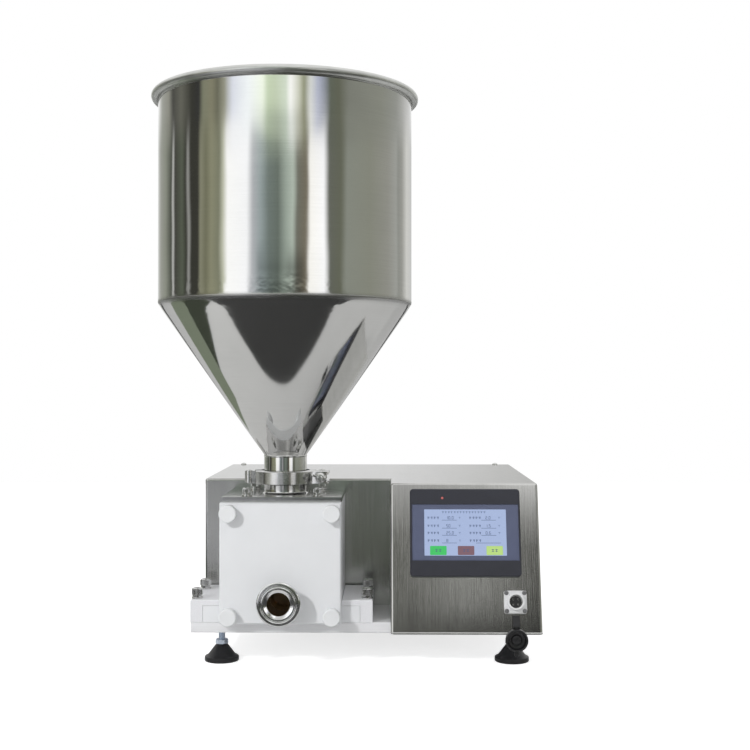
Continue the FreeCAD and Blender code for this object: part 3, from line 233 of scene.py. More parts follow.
def studio():
    world = bpy.data.worlds.new("studio")
    bpy.context.scene.world = world
    world.use_nodes = True
    n = Nodes(world.node_tree)
    coordinates = n.add("ShaderNodeTexCoord")
    x, y, z = n.split(coordinates.outputs["Generated"])
    compass = n.math("ARCTAN2", x, n.times(y, -1.0))
    turn = n.plus(n.math("DIVIDE", compass, 2 * pi), 0.5)
    turn_back = n.minus(turn, PANEL_TURN / 360)

    def ring(panels, factor=turn):
        return n.ramp(factor, [((angle + 180) / 360, colour) for angle, colour in panels])

    low = ring(LOW_PANELS, turn_back)
    shaded = n.mix(1.0, low, ring(LOW_SHADE, turn_back), "MULTIPLY")
    low = n.mix(n.slide(z, 0.085, 0.115), shaded, low)
    colour = n.mix(n.slide(turn_back, 0.63, 0.65), low, ring(RIGHT_SIDE, turn_back))
    # Each goes over into the next between two heights: z is 0 at the horizon and 1 straight up.
    levels = [
        (0.184, 0.212, ring(HIGH_PANELS, turn_back)),
        (0.25, 0.30, ring(BETWEEN)),
        (0.362, 0.378, ring(WALLS)),
        (0.43, 0.48, ring(UPPER_WALLS)),
        (0.62, 0.82, (1.02, 1.02, 1.02)),
    ]
    for start, end, above in levels:
        colour = n.mix(n.slide(z, start, end), colour, above)
    # A ramp starts at 0, so heights under the horizon are raised by a half.
    raised = n.plus(z, 0.5)
    colour = n.mix(n.slide(raised, 0.415, 0.428), ring(UNDER), colour)
    far_band = n.ramp(raised, [(0.397, 0.0), (0.402, 1.0), (0.50, 1.0), (0.53, 0.0)])
    colour = n.mix(n.times(ring(FAR_LEFT), far_band), colour, (0.40, 0.40, 0.42))
    sight = n.add("ShaderNodeLightPath")
    dimmed = n.mix(0.40, colour, (0.0, 0.0, 0.0))
    colour = n.mix(sight.outputs["Is Diffuse Ray"], colour, dimmed)
    colour = n.mix(sight.outputs["Is Camera Ray"], colour, (1.0, 1.0, 1.0))
    background = n.add("ShaderNodeBackground")
    n.feed(colour, background.inputs["Color"])
    output = n.add("ShaderNodeOutputWorld")
    n.feed(background.outputs[0], output.inputs[0])


def soft_light(name, place, aim, size, power):
    data = bpy.data.lights.new(name, "AREA")
    data.shape = "DISK"
    data.size = size
    data.energy = power
    light = bpy.data.objects.new(name, data)
    bpy.context.scene.collection.objects.link(light)
    light.location = place
    light.rotation_euler = (Vector(aim) - Vector(place)).to_track_quat("-Z", "Y").to_euler()
    light.visible_glossy = False


def plain_sheet(name, x0, x1, y0, y1, z, colour, glow):
    """A flat stage piece on the ground."""
    mesh = bpy.data.meshes.new(name)
    mesh.from_pydata([(x0, y0, z), (x1, y0, z), (x1, y1, z), (x0, y1, z)], [], [(0, 1, 2, 3)])
    sheet = bpy.data.objects.new(name, mesh)
    bpy.context.scene.collection.objects.link(sheet)
    material = bpy.data.materials.new(name + "_paper")
    material.use_nodes = True
    n = Nodes(material.node_tree)
    coordinates = n.add("ShaderNodeTexCoord")
    mottle = n.noise(coordinates.outputs["Object"], 3.0, 2.0)
    diffuse = n.add("ShaderNodeBsdfDiffuse")
    n.feed(n.slide(mottle, 0.3, 0.7, darker(colour, 0.985), colour), diffuse.inputs["Color"])
    emission = n.add("ShaderNodeEmission")
    sight = n.add("ShaderNodeLightPath")
    n.feed(n.times(sight.outputs["Is Camera Ray"], glow), emission.inputs["Strength"])
    both = n.add("ShaderNodeAddShader")
    n.feed(diffuse.outputs[0], both.inputs[0])
    n.feed(emission.outputs[0], both.inputs[1])
    output = n.add("ShaderNodeOutputMaterial")
    n.feed(both.outputs[0], output.inputs[0])
    mesh.materials.append(material)
    return sheet


def lights_and_floor():
    aim = (0.0, 0.0, 0.16)
    soft_light("key", (-1.22, -1.80, 1.24), aim, 0.24, 24)
    soft_light("fill", (0.5, -2.6, 0.9), aim, 2.4, 4)
    soft_light("top", (0.1, 0.3, 2.6), aim, 2.4, 12)
    plain_sheet("floor", -2.4, 2.4, -1.8, 2.4, 0, (0.80, 0.80, 0.80), 0.70)
    card_height = 0.002
    # Cards that only reflections show: x from and to, y from and to, colour.
    cards = [
        ("edge_front", -2.4, 2.4, -0.62, -0.280, (0.07, 0.07, 0.07)),
        ("left_front", -2.4, -0.16, -1.8, -0.62, (0.56, 0.56, 0.59)),
        ("dark_front", -0.16, 0.012, -1.8, -0.62, (0.085, 0.09, 0.07)),
        ("olive_front", 0.012, 0.034, -1.8, -0.62, (0.20, 0.23, 0.15)),
        ("right_front", 0.034, 2.4, -1.8, -0.62, (0.10, 0.105, 0.085)),
        ("edge_left", -1.6, -0.57, -0.265, 0.12, (0.07, 0.08, 0.06)),
        ("olive_left", -1.6, -0.50, 0.12, 0.60, (0.28, 0.32, 0.24)),
    ]
    for name, x0, x1, y0, y1, colour in cards:
        card = plain_sheet(name, x0, x1, y0, y1, card_height, colour, 0)
        card.visible_camera = False
        card.visible_diffuse = False
        card.visible_shadow = False


studio()
lights_and_floor()


# ---- materials
def surface(name, metal=0.0):
    material = bpy.data.materials.new(name)
    material.use_nodes = True
    n = Nodes(material.node_tree)
    shader = n.add("ShaderNodeBsdfPrincipled", Metallic=metal)
    output = n.add("ShaderNodeOutputMaterial")
    n.feed(shader.outputs[0], output.inputs[0])
    coordinates = n.add("ShaderNodeTexCoord")
    return material, n, shader, coordinates.outputs["Object"]


def paint(n, shader, rough_by, rough, tone_by, tones, start=0.3, end=0.7):
    """Roughness and colour, each between two values by a noise."""
    n.feed(n.slide(rough_by, 0.3, 0.7, *rough), shader.inputs["Roughness"])
    n.feed(n.slide(tone_by, start, end, *tones), shader.inputs["Base Color"])


def relief(n, shader, height, strength, distance):
    node = n.add("ShaderNodeBump", Strength=strength, Distance=distance)
    n.feed(height, node.inputs["Height"])
    n.feed(node.outputs[0], shader.inputs["Normal"])


def spun_steel(name, colour, rough, swell, seam_z=None):
    """Polished stainless turned about the hopper's axis, with ripples by its welded seam and painted shade
    along it.
    """
    material, n, shader, place = surface(name, 1.0)
    x, y, z = n.split(place)
    angle = n.math("ARCTAN2", n.minus(y, HOPPER_AXIS[1]), n.minus(x, HOPPER_AXIS[0]))

    def streaks(around, up, *grain):
        return n.noise(n.vector(n.times(angle, around), 0.0, n.times(z, up)), *grain)

    rings = streaks(0.35, 420.0, 3.0, 4.0, 0.6)
    smears = n.noise(place, 9.0, 5.0, 0.6)
    rubbed = n.weigh(rings, 0.45, smears, 0.55)
    roughness = n.slide(rubbed, 0.3, 0.7, *rough)
    tone = n.slide(rubbed, 0.3, 0.7, darker(colour, 0.86), colour)
    height = n.weigh(rings, 0.0006, streaks(0.9, 3.5, 1.6, 2.0, 0.45), swell)
    if seam_z is not None:
        rippled, welded = 0.030, 0.006
        beside = n.math("ABSOLUTE", n.minus(z, seam_z))
        near = n.ramp(n.math("DIVIDE", beside, rippled), [(0.0, 1.0), (1.0, 0.0)], "EASE")
        ripples = streaks(5.0, 45.0, 1.6, 2.0)
        height = n.plus(height, n.times(n.times(ripples, near), 0.30))
        # Painted shade: the colour is darkened to 0.58 at the seam, fading out by 6 mm either side. It
        # stands in for the shadow line at the weld. The band is made rougher too.
        fade = [(0.0, 1.0), (0.25, 1.0), (0.6, 0.25), (1.0, 0.0)]
        seam_shade = n.ramp(n.math("DIVIDE", beside, welded), fade)
        tone = n.mix(seam_shade, tone, darker(colour, 0.58))
        roughness = n.mix(seam_shade, roughness, (0.34, 0.34, 0.34))
    n.feed(roughness, shader.inputs["Roughness"])
    n.feed(tone, shader.inputs["Base Color"])
    relief(n, shader, height, 0.25, 0.004)
    return material


def brushed_steel(name, colour, rough, recess_y=None):
    """Brushed stainless sheet: the grain runs up its faces, back over its top and along its sides.

    Upright faces behind recess_y, which are not polished, are duller.
    """
    material, n, shader, place = surface(name, 1.0)
    lines = 900.0
    x, y, z = n.split(place)
    geometry = n.add("ShaderNodeNewGeometry")
    facing = n.split(geometry.outputs["True Normal"])
    sideways = n.math("GREATER_THAN", n.math("ABSOLUTE", facing[0]), 0.7)
    run = n.plus(y, z)
    across = n.vector(n.times(x, lines), n.times(run, 9.0), 0.0)
    along_side = n.vector(n.times(z, lines), n.times(y, 9.0), 3.0)
    fine = n.noise(n.mix(sideways, across, along_side), 1.0, 3.0, 0.65)
    broad = n.noise(n.vector(n.times(x, 60.0), n.times(run, 5.0), z), 1.0, 3.0, 0.6)
    smears = n.noise(place, 14.0, 4.0, 0.6)
    rubbed = n.weigh(fine, 0.5, smears, 0.5)
    roughness = n.slide(rubbed, 0.3, 0.7, *rough)
    if recess_y is not None:
        behind = n.times(n.math("LESS_THAN", facing[1], -0.98), n.math("GREATER_THAN", y, recess_y))
        roughness = n.mix(behind, roughness, n.slide(rubbed, 0.3, 0.7, 0.18, 0.27))
    n.feed(roughness, shader.inputs["Roughness"])
    grain = n.weigh(fine, 0.6, broad, 0.4)
    n.feed(n.slide(grain, 0.3, 0.7, darker(colour, 0.78), colour), shader.inputs["Base Color"])
    waves = n.noise(place, 4.0, 1.0, 0.4)
    relief(n, shader, n.weigh(fine, 0.035, waves, 0.10), 0.3, 0.003)
    return material


def turned_steel(name, colour, rough=(0.12, 0.26), scale=260.0):
    """Small machined parts: bright, lightly scratched metal."""
    material, n, shader, place = surface(name, 1.0)
    fine = n.noise(place, scale, 4.0, 0.7)
    smears = n.noise(place, 40.0, 3.0, 0.5)
    tones = (darker(colour, 0.85), colour)
    paint(n, shader, n.weigh(fine, 0.4, smears, 0.6), rough, smears, tones)
    relief(n, shader, n.weigh(fine, 0.05, smears, 0.05), 0.25, 0.001)
    return material


def ground_steel(name, colour, rough, run_scales, metal):
    """Satin, ground plate; run_scales are the noise scales along x, y and z."""
    material, n, shader, place = surface(name, metal)
    stretched = [n.times(value, scale) for value, scale in zip(n.split(place), run_scales)]
    fine = n.noise(n.vector(*stretched), 1.0, 3.0, 0.65)
    smears = n.noise(place, 22.0, 4.0, 0.6)
    tones = (darker(colour, 0.92), colour)
    paint(n, shader, n.weigh(fine, 0.5, smears, 0.5), rough, fine, tones, 0.25, 0.75)
    relief(n, shader, fine, 0.12, 0.0004)
    return material


def milled_plastic(name, colour, lines=1100.0, painted_bore_reflection=None):
    """White engineering plastic with faint cutter lines; painted_bore_reflection is a bore's x, z and
    radius, inside which a brown reflection is painted.
    """
    material, n, shader, place = surface(name)
    x, y, z = n.split(place)
    cuts = n.noise(n.vector(n.times(x, 8.0), n.times(y, lines), n.times(z, lines)), 1.0, 2.0)
    mottle = n.noise(place, 30.0, 4.0, 0.6)
    grain = n.noise(place, 1500.0, 2.0, 0.6)
    n.feed(n.slide(mottle, 0.3, 0.7, 0.36, 0.5), shader.inputs["Roughness"])
    tone = n.slide(mottle, 0.2, 0.8, darker(colour, 0.96), colour)
    if painted_bore_reflection is not None:
        # Painted reflection: inside the bore the white is replaced by brown, standing in for what the bore
        # reflects.
        bore_x, bore_z, radius = painted_bore_reflection
        inside = n.math("LESS_THAN", n.distance(x, z, (bore_x, bore_z)), radius)
        tone = n.mix(inside, tone, (0.36, 0.22, 0.10))
    n.feed(tone, shader.inputs["Base Color"])
    relief(n, shader, n.weigh(cuts, 0.5, grain, 0.3), 0.08, 0.0006)
    return material


def moulded(name, colour, rough, grain_scale=1400.0, strength=0.15, lighter=1.25):
    """Moulded plastic or rubber: a fine grain and slight rubbing marks."""
    material, n, shader, place = surface(name)
    grain = n.noise(place, grain_scale, 3.0, 0.7)
    rub = n.noise(place, 55.0, 4.0, 0.65)
    paint(n, shader, rub, rough, rub, (colour, darker(colour, lighter)), 0.35, 0.8)
    relief(n, shader, grain, strength, 0.0004)
    return material


def lit(name, colour):
    """A lit part of the display: faint cell texture, glowing by itself, less to the side."""
    material, n, shader, place = surface(name)
    cells = n.noise(place, 900.0, 1.0)
    n.feed(n.slide(cells, 0.2, 0.8, darker(colour, 0.94), colour), shader.inputs["Emission Color"])
    unlit = (darker(colour, 0.10), darker(colour, 0.14))
    n.feed(n.slide(cells, 0.2, 0.8, *unlit), shader.inputs["Base Color"])
    aside = n.add("ShaderNodeLayerWeight", Blend=0.5)
    glow = n.slide(aside.outputs["Facing"], 0.16, 0.4, 1.0, 0.08)
    n.feed(glow, shader.inputs["Emission Strength"])
    shader.inputs["Roughness"].default_value = 0.3
    relief(n, shader, cells, 0.02, 0.0002)
    return material


def turned_face(name, axis, colour, rough, depth):
    """Steel turned about a level axis at x, z: fine concentric tool marks."""
    material, n, shader, place = surface(name, 1.0)
    x, y, z = n.split(place)
    radius = n.distance(x, z, axis)
    marks = n.noise(n.vector(n.times(radius, 2600.0), 0.0, n.times(y, 900.0)), 1.0, 2.0, 0.5)
    smears = n.noise(place, 60.0, 3.0, 0.5)
    paint(n, shader, smears, rough, smears, (darker(colour, 0.88), colour))
    relief(n, shader, marks, 1.0, depth)
    return material


def centre_of(node):
    low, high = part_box(node)
    return (low + high) / 2


bowl_low, bowl_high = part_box("hopper_bowl")
cone_low, cone_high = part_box("hopper_cone")
HOPPER_AXIS = ((bowl_low.x + bowl_high.x) / 2, (bowl_low.y + bowl_high.y) / 2)
OUTLET_AXIS = tuple(centre_of("outlet_ferrule").xz)
RECESS_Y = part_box("gib_left")[1].y - 0.01
# The outlet bore's radius, inside which the white plastic gets a painted brown reflection.
PAINTED_REFLECTION_RADIUS = 0.0132

M = {
    "bowl": spun_steel("bowl_steel", (0.68, 0.68, 0.665), (0.035, 0.085), 1.2, cone_high.z),
    "cone": spun_steel("cone_steel", (0.68, 0.68, 0.665), (0.05, 0.10), 0.8, cone_high.z),
    "rim": turned_steel("rim_steel", (0.70, 0.71, 0.685), (0.28, 0.40), 120.0),
    "neck": spun_steel("neck_steel", (0.66, 0.66, 0.65), (0.06, 0.13), 0.1),
    "sheet": brushed_steel("brushed_sheet", (0.62, 0.62, 0.605), (0.06, 0.13), RECESS_Y),
    "edge": brushed_steel("plate_edge", (0.58, 0.58, 0.58), (0.10, 0.18)),
    "plate": ground_steel("ground_plate", (0.86, 0.86, 0.88), (0.38, 0.5), (6, 700, 700), 0.12),
    "gib": ground_steel("gib_steel", (0.86, 0.86, 0.89), (0.38, 0.5), (700, 6, 700), 0.12),
    "bright": turned_steel("bright_steel", (0.68, 0.68, 0.67)),
    "zinc": turned_steel("zinc_steel", (0.72, 0.80, 0.92), (0.2, 0.34)),
    "machined": turned_steel("machined_steel", (0.62, 0.62, 0.61), (0.2, 0.32)),
    "aluminium": turned_steel("machined_aluminium", (0.72, 0.73, 0.74), (0.28, 0.42)),
    "white": milled_plastic("white_plastic", (0.79, 0.80, 0.82), painted_bore_reflection=(*OUTLET_AXIS, PAINTED_REFLECTION_RADIUS)),
    "knob": milled_plastic("knob_plastic", (0.79, 0.80, 0.815), 700.0),
    "silicone": moulded("white_silicone", (0.74, 0.74, 0.71), (0.45, 0.6), 900.0, 0.05, 1.05),
    "rubber": moulded("black_rubber", (0.006, 0.006, 0.007), (0.26, 0.44), 1200.0, 0.12, 1.6),
    "black": moulded("black_plastic", (0.014, 0.014, 0.016), (0.3, 0.45)),
    "motor": moulded("motor_paint", (0.02, 0.02, 0.022), (0.35, 0.5)),
    "bezel": moulded("bezel_plastic", (0.024, 0.025, 0.035), (0.34, 0.42), 1600.0, 0.02, 1.2),
    "glass": moulded("screen_glass", (0.10, 0.115, 0.19), (0.12, 0.2), 900.0, 0.01, 1.08),
    "display": lit("display_blue", (0.35, 0.43, 0.64)),
    "ink": lit("display_ink", (0.07, 0.10, 0.20)),
    "ink_soft": lit("display_soft_ink", (0.16, 0.21, 0.36)),
    "green": lit("button_green", (0.05, 0.50, 0.12)),
    "brown": lit("button_brown", (0.19, 0.105, 0.13)),
    "lime": lit("button_lime", (0.44, 0.64, 0.20)),
    "led": lit("led_red", (0.50, 0.12, 0.11)),
    "socket": ground_steel("socket_shell", (0.86, 0.86, 0.88), (0.25, 0.36), (300, 300, 300), 0.22),
    "dark_screw": turned_steel("blackened_screw", (0.30, 0.30, 0.31), (0.34, 0.46)),
    "ferrule": turned_face("turned_ferrule", OUTLET_AXIS, (0.84, 0.84, 0.84), (0.06, 0.12), 0.00006),
}

NODE_LOOK = {
    "hopper_bowl": "bowl",
    "hopper_cone": "cone",
    "top_plate": "neck",
    "housing_cover": "sheet",
    "rear_panel": "sheet",
    "gib_left": "gib",
    "gib_right": "gib",
    "valve_block": "white",
    "valve_cover": "white",
    "socket_shell": "socket",
    "socket_screws": "dark_screw",
}
SLOT_LOOK = {
    "polished_steel": "bright",
    "plate_steel": "plate",
    "fastener_steel": "bright",
    "white_plastic": "knob",
    "black_rubber": "rubber",
    "white_silicone": "silicone",
    "black_plastic": "black",
    "screen_frame": "bezel",
    "screen_face": "glass",
    "machined_steel": "machined",
    "machined_aluminium": "aluminium",
    "motor_paint": "motor",
}

for node, cad in frame["nodes"].items():
    look_name = NODE_LOOK.get(node, SLOT_LOOK.get(SLOT_OF[node]))
    if node.startswith("foot_stud"):
        look_name = "zinc"
    cad.data.materials.clear()
    cad.data.materials.append(M[look_name])


# ---- meshes
# Outlines and sizes are in mm; places on the machine are in metres.
def piece(name, bm, look_name, stands_for, sharp, place=None, body="machine"):
    """Turn a bmesh into a piece that rides on a body."""
    if place is not None:
        bmesh.ops.transform(bm, matrix=place, verts=bm.verts)
    bmesh.ops.remove_doubles(bm, verts=bm.verts, dist=1e-7)
    bmesh.ops.recalc_face_normals(bm, faces=bm.faces)
    mesh = bpy.data.meshes.new(name)
    bm.to_mesh(mesh)
    bm.free()
    mesh.shade_smooth()
    mesh.set_sharp_from_angle(angle=radians(sharp))
    made = bpy.data.objects.new(name, mesh)
    bpy.context.scene.collection.objects.link(made)
    weighted = made.modifiers.new("weighted", "WEIGHTED_NORMAL")
    weighted.keep_sharp = True
    mesh.materials.append(M[look_name])
    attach(made, body)
    if stands_for:
        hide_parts(*stands_for)


def arc(cx, cz, radius, start, end, steps):
    """Points of an arc in an outline, angles in degrees."""
    points = []
    for k in range(steps + 1):
        a = radians(start + (end - start) * k / steps)
        points.append((cx + radius * cos(a), cz + radius * sin(a)))
    return points


def rounded_box(x, y, width, height, radius):
    """The outline of a rectangle about x, y with rounded corners."""
    points = []
    for side, end, start in ((1, 1, 0), (-1, 1, 90), (-1, -1, 180), (1, -1, 270)):
        cx, cy = x + side * (width / 2 - radius), y + end * (height / 2 - radius)
        points += arc(cx, cy, radius, start, start + 90, 4)
    return points


def hexagon(across_flats, count, turn):
    """Radii of a hexagon in count directions; with turn 0 a corner comes first, with 30 a flat."""
    leans = [radians((360 * k / count + turn) % 60 - 30) for k in range(count)]
    return [across_flats / 2 / cos(lean) for lean in leans]


def polar(bm, radius, angle, z):
    return bm.verts.new((radius * MM * cos(angle), radius * MM * sin(angle), z * MM))


def level_ring(bm, radii, z):
    """Vertices evenly round the z axis at one height, one for each radius."""
    return [polar(bm, radius, 2 * pi * k / len(radii), z) for k, radius in enumerate(radii)]


def skin(bm, rings):
    """Faces from each ring of vertices to the next."""
    for low, high in zip(rings, rings[1:]):
        for k in range(len(low)):
            after = (k + 1) % len(low)
            bm.faces.new((low[k], low[after], high[after], high[k]))


def solid(bm, rings):
    """Faces from ring to ring and over both ends."""
    skin(bm, rings)
    bm.faces.new(list(reversed(rings[0])))
    bm.faces.new(rings[-1])
    return bm


def turned(bm, degrees, axis):
    bmesh.ops.transform(bm, matrix=Matrix.Rotation(radians(degrees), 4, axis), verts=bm.verts)
    return bm


def moved(bm, x, y, z):
    bmesh.ops.translate(bm, vec=(x, y, z), verts=bm.verts)
    return bm


def merged(*parts):
    """Several bmeshes as one."""
    whole = bmesh.new()
    for part in parts:
        mesh = bpy.data.meshes.new("part")
        part.to_mesh(mesh)
        part.free()
        whole.from_mesh(mesh)
        bpy.data.meshes.remove(mesh)
    return whole


def lathe(outline, segments=96):
    """A closed outline of (radius, height), turned about z."""
    bm = bmesh.new()
    rings = []
    for k in range(segments):
        rings.append([polar(bm, radius, 2 * pi * k / segments, z) for radius, z in outline])
    skin(bm, rings + rings[:1])
    bmesh.ops.remove_doubles(bm, verts=bm.verts, dist=1e-6)
    bmesh.ops.dissolve_degenerate(bm, dist=1e-7, edges=bm.edges)
    return bm


def extruded(points, z0, z1, bevel):
    """A flat outline made solid between two heights, its edges bevelled."""
    bm = bmesh.new()
    face = bm.faces.new([bm.verts.new((x * MM, y * MM, z0 * MM)) for x, y in points])
    made = bmesh.ops.extrude_face_region(bm, geom=[face])
    top = [v for v in made["geom"] if isinstance(v, bmesh.types.BMVert)]
    bmesh.ops.translate(bm, vec=(0, 0, (z1 - z0) * MM), verts=top)
    bmesh.ops.recalc_face_normals(bm, faces=bm.faces)
    if bevel:
        bmesh.ops.bevel(bm, geom=bm.edges[:], offset=bevel * MM, segments=2, affect="EDGES", profile=0.5)
    return bm


# Threads: radius and pitch.
M6 = (3.0, 1.0)
M8 = (4.0, 1.25)


def threaded_rod(radius, pitch, depth, z0, z1, chamfer=0.8):
    """A rod with a real helical thread along z, with chamfered ends."""
    bm = bmesh.new()
    rows_per_turn, segments = 8, 36
    rows = int((z1 - z0) / pitch * rows_per_turn)
    rings = []
    for row in range(rows + 1):
        z = z0 + (z1 - z0) * row / rows
        limit = radius - max(0.0, chamfer - min(z - z0, z1 - z))
        radii = []
        for k in range(segments):
            wave = abs((z / pitch - k / segments) % 1.0 - 0.5) * 2
            groove = min(1.0, max(0.0, 1.25 * wave - 0.1))
            radii.append(min(limit, radius - depth * groove))
        rings.append(level_ring(bm, radii, z))
    return solid(bm, rings)


def hex_nut(across_flats, z0, z1):
    """A hexagon with both ends chamfered round: the corners are cut by a cone."""
    bm = bmesh.new()
    height = z1 - z0
    rings = []
    for level in (0.0, 0.04, 0.10, 0.18, 0.82, 0.90, 0.96, 1.0):
        limit = across_flats / 2 * 0.97 + min(level, 1 - level) * height * 1.9
        radii = [min(radius, limit) for radius in hexagon(across_flats, 48, 0)]
        rings.append(level_ring(bm, radii, z0 + level * height))
    return solid(bm, rings)


def upright(x, y):
    return Matrix.Translation((x, y, 0))


def pointing_front(x, z):
    """Takes a lathe's height to y, so that +height points to the back."""
    return Matrix.Translation((x, 0, z)) @ Matrix.Rotation(radians(-90), 4, "X")


# ---- hopper
# The pipe neck and the clamp ferrule that the hopper and the top plate have alike: radii.
NECK, NECK_BORE, CLAMP_FERRULE = 25.4, 23.9, 32.0


def clamp_ferrule(joint, way):
    """A ferrule's outline from the face at its joint to the neck, upwards (way 1) or downwards (-1)."""
    outline = arc(CLAMP_FERRULE - 0.6, joint + way * 0.6, 0.6, way * -90, 0, 4)
    outline += arc(CLAMP_FERRULE - 0.7, joint + way * 1.5, 0.7, 0, way * 60, 4)
    return outline + arc(NECK + 1.9, joint + way * 6.3, 1.9, way * -110, way * -180, 6)


def hopper():
    wall = (cone_high.x - cone_low.x) / 2 / MM
    outside = (bowl_high.x - bowl_low.x) / 2 / MM
    top, foot = bowl_high.z / MM, cone_high.z / MM
    sheet, roll = 1.5, 5.0
    cx, cz = outside - roll, top - roll
    weld_w, weld_h = 2.4, 0.15
    outline = []
    for k in range(9):
        outline.append((wall + weld_h * sin(pi * k / 8), foot + 0.02 + weld_w * k / 8))
    outline += [(wall, foot + weld_w + 1.0), (wall, cz - 3.0), (wall, cz - 1.0)]
    outline += [(wall - sheet, cz - 1.0), (wall - sheet, cz - 3.0)]
    outline += [(wall - sheet, foot + 1.0), (wall - sheet, foot + 0.02)]
    place = upright(*HOPPER_AXIS)
    bowl = lathe(outline, 256)
    piece("hopper_bowl_wall", bowl, "bowl", ["hopper_bowl"], 50, place)
    rim = lathe(arc(cx, cz, roll, 0, 352.5, 47), 256)
    piece("hopper_bowl_rim", rim, "rim", ["hopper_bowl"], 50, place)

    neck_height = 26.2
    joint = cone_low.z / MM
    shoulder = joint + neck_height
    slope = atan2(wall - NECK, foot - shoulder)
    run = (foot - shoulder) / cos(slope)

    def on_cone(distance, proud=0.0):
        """A point up the cone's outside, raised by proud."""
        return (
            NECK + distance * sin(slope) + proud * cos(slope),
            shoulder + distance * cos(slope) - proud * sin(slope),
        )

    outline = [(NECK_BORE, joint)] + clamp_ferrule(joint, 1)
    outline += [(NECK, joint + 8.5), (NECK, shoulder - 2.6)]
    for k in range(7):
        outline.append((NECK + 0.32 * sin(pi * k / 6), shoulder - 2.2 + 2.0 * k / 6))
    outline += [on_cone(0.8), on_cone(2.0)]
    barrel, knuckle = 0.8, 12.0
    for k in range(1, 9):
        distance = 2.0 + (run - knuckle - 2.0) * k / 8
        outline.append(on_cone(distance, barrel * (1 - (1 - k / 8) ** 2)))
    for k in range(1, 9):
        outline.append(on_cone(run - knuckle + knuckle * k / 8, barrel * (1 - (k / 8) ** 2)))
    inside = wall - sheet / cos(slope)
    outline += [(inside, foot), (inside - 0.5, foot - 0.8)]
    outline += [(NECK_BORE + 0.5, shoulder + 1.6), (NECK_BORE, shoulder + 0.8)]
    cone = lathe(outline, 256)
    piece("hopper_cone_welded", cone, "cone", ["hopper_cone"], 50, place)


def top_plate():
    low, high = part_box("top_plate")
    foot, joint = low.z / MM, high.z / MM
    thickness = 6.5
    top = foot + thickness
    corners = rounded_box(0, 0, (high.x - low.x) / MM, (high.y - low.y) / MM, 1.0)
    plate = moved(extruded(corners, foot, top - 0.02, 0.5), *centre_of("top_plate").xy, 0)
    outline = [(NECK_BORE, foot), (NECK, foot + 1.0), (NECK, top - 0.1), (NECK + 2.6, top - 0.1)]
    outline += arc(NECK + 2.6, top + 2.6, 2.6, -90, -180, 8)
    outline += clamp_ferrule(joint, -1)[::-1] + [(NECK_BORE, joint)]
    tube = moved(lathe(outline, 128), *HOPPER_AXIS, 0)
    piece("top_plate_sheet", plate, "edge", ["top_plate"], 40)
    piece("top_plate_neck", tube, "neck", ["top_plate"], 40)


# ---- feet
def feet():
    rod, pitch = M8
    neck = 7.4
    for corner in ("front_left", "front_right", "rear_left", "rear_right"):
        pad_name, stud_name = "foot_pad_" + corner, "foot_stud_" + corner
        pad_low, pad_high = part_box(pad_name)
        stud_low, stud_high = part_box(stud_name)
        place = upright(*centre_of(pad_name).xy)
        radius = (pad_high.x - pad_low.x) / 2 / MM
        foot, top = pad_low.z / MM, pad_high.z / MM
        well = stud_low.z / MM - 0.3
        outline = [(0.0, foot), (radius - 1.6, foot)]
        outline += arc(radius - 1.4, foot + 1.4, 1.4, -85, 0, 6)
        outline += arc(radius - 1.6, foot + 4.4, 1.6, 0, 70, 7)
        outline += [(radius - 4.0, foot + 7.4), (neck + 3.4, top - 5.2), (neck + 1.4, top - 2.6)]
        outline += arc(neck - 1.3, top - 1.3, 1.3, 20, 90, 5)
        outline += [(rod + 0.06, top), (rod + 0.06, well), (0.0, well)]
        pad = lathe(outline)
        piece(pad_name + "_moulded", pad, "rubber", [pad_name], 40, place, pad_name)
        thread = threaded_rod(rod, pitch, 0.62, stud_low.z / MM, stud_high.z / MM)
        stud = merged(thread, hex_nut(13.0, top + 0.3, top + 5.8))
        piece(stud_name + "_threaded", stud, "zinc", [stud_name], 28, place, stud_name)


# ---- socket-head screws
def knurled_head(radius, z0, z1, key):
    """A socket-head: knurled side, chamfered top, hexagon socket."""
    count = 84
    socket_floor = z1 - (z1 - z0) * 0.55

    def around(size, groove=0.0):
        return [size - (groove if k % 2 else 0.0) for k in range(count)]

    socket = hexagon(key, count, 30)
    levels = [
        (around(0.01), z0),
        (around(radius - 0.45), z0),
        (around(radius - 0.1), z0 + 0.35),
        (around(radius - 0.1, 0.02), z0 + 0.6),
        (around(radius, 0.42), z0 + 0.8),
        (around(radius, 0.42), z1 - 1.5),
        (around(radius - 0.2, 0.02), z1 - 1.25),
        (around(radius - 0.2), z1 - 0.7),
        (around(radius - 0.85), z1),
        (hexagon(key + 0.5, count, 30), z1),
        (socket, z1 - 0.35),
        (socket, socket_floor),
        (around(0.01), socket_floor - 0.6),
    ]
    bm = bmesh.new()
    return solid(bm, [level_ring(bm, radii, z) for radii, z in levels])


def split_washer(inner, outer, z0, z1, facing):
    """A spring washer, cut through at the angle it faces and sprung a little apart."""
    bm = bmesh.new()
    steps, rise, gap = 60, 0.3, 10
    section = [(inner, z0), (outer - 0.2, z0), (outer, z0 + 0.2)]
    section += [(outer, z1 - rise - 0.2), (outer - 0.2, z1 - rise), (inner, z1 - rise)]
    rings = []
    for k in range(steps + 1):
        a = radians(facing + gap / 2 + (360 - gap) * k / steps)
        rings.append([polar(bm, radius, a, z + rise * k / steps) for radius, z in section])
    return solid(bm, rings)


def vertices_by_screw(node):
    """The vertices of a node in groups, one for each screw."""
    reach = 0.015
    groups = []
    for vertex in frame["nodes"][node].data.vertices:
        for group in groups:
            if (group[0].xy - vertex.co.xy).length < reach:
                group.append(vertex.co.copy())
                break
        else:
            groups.append([vertex.co.copy()])
    return groups


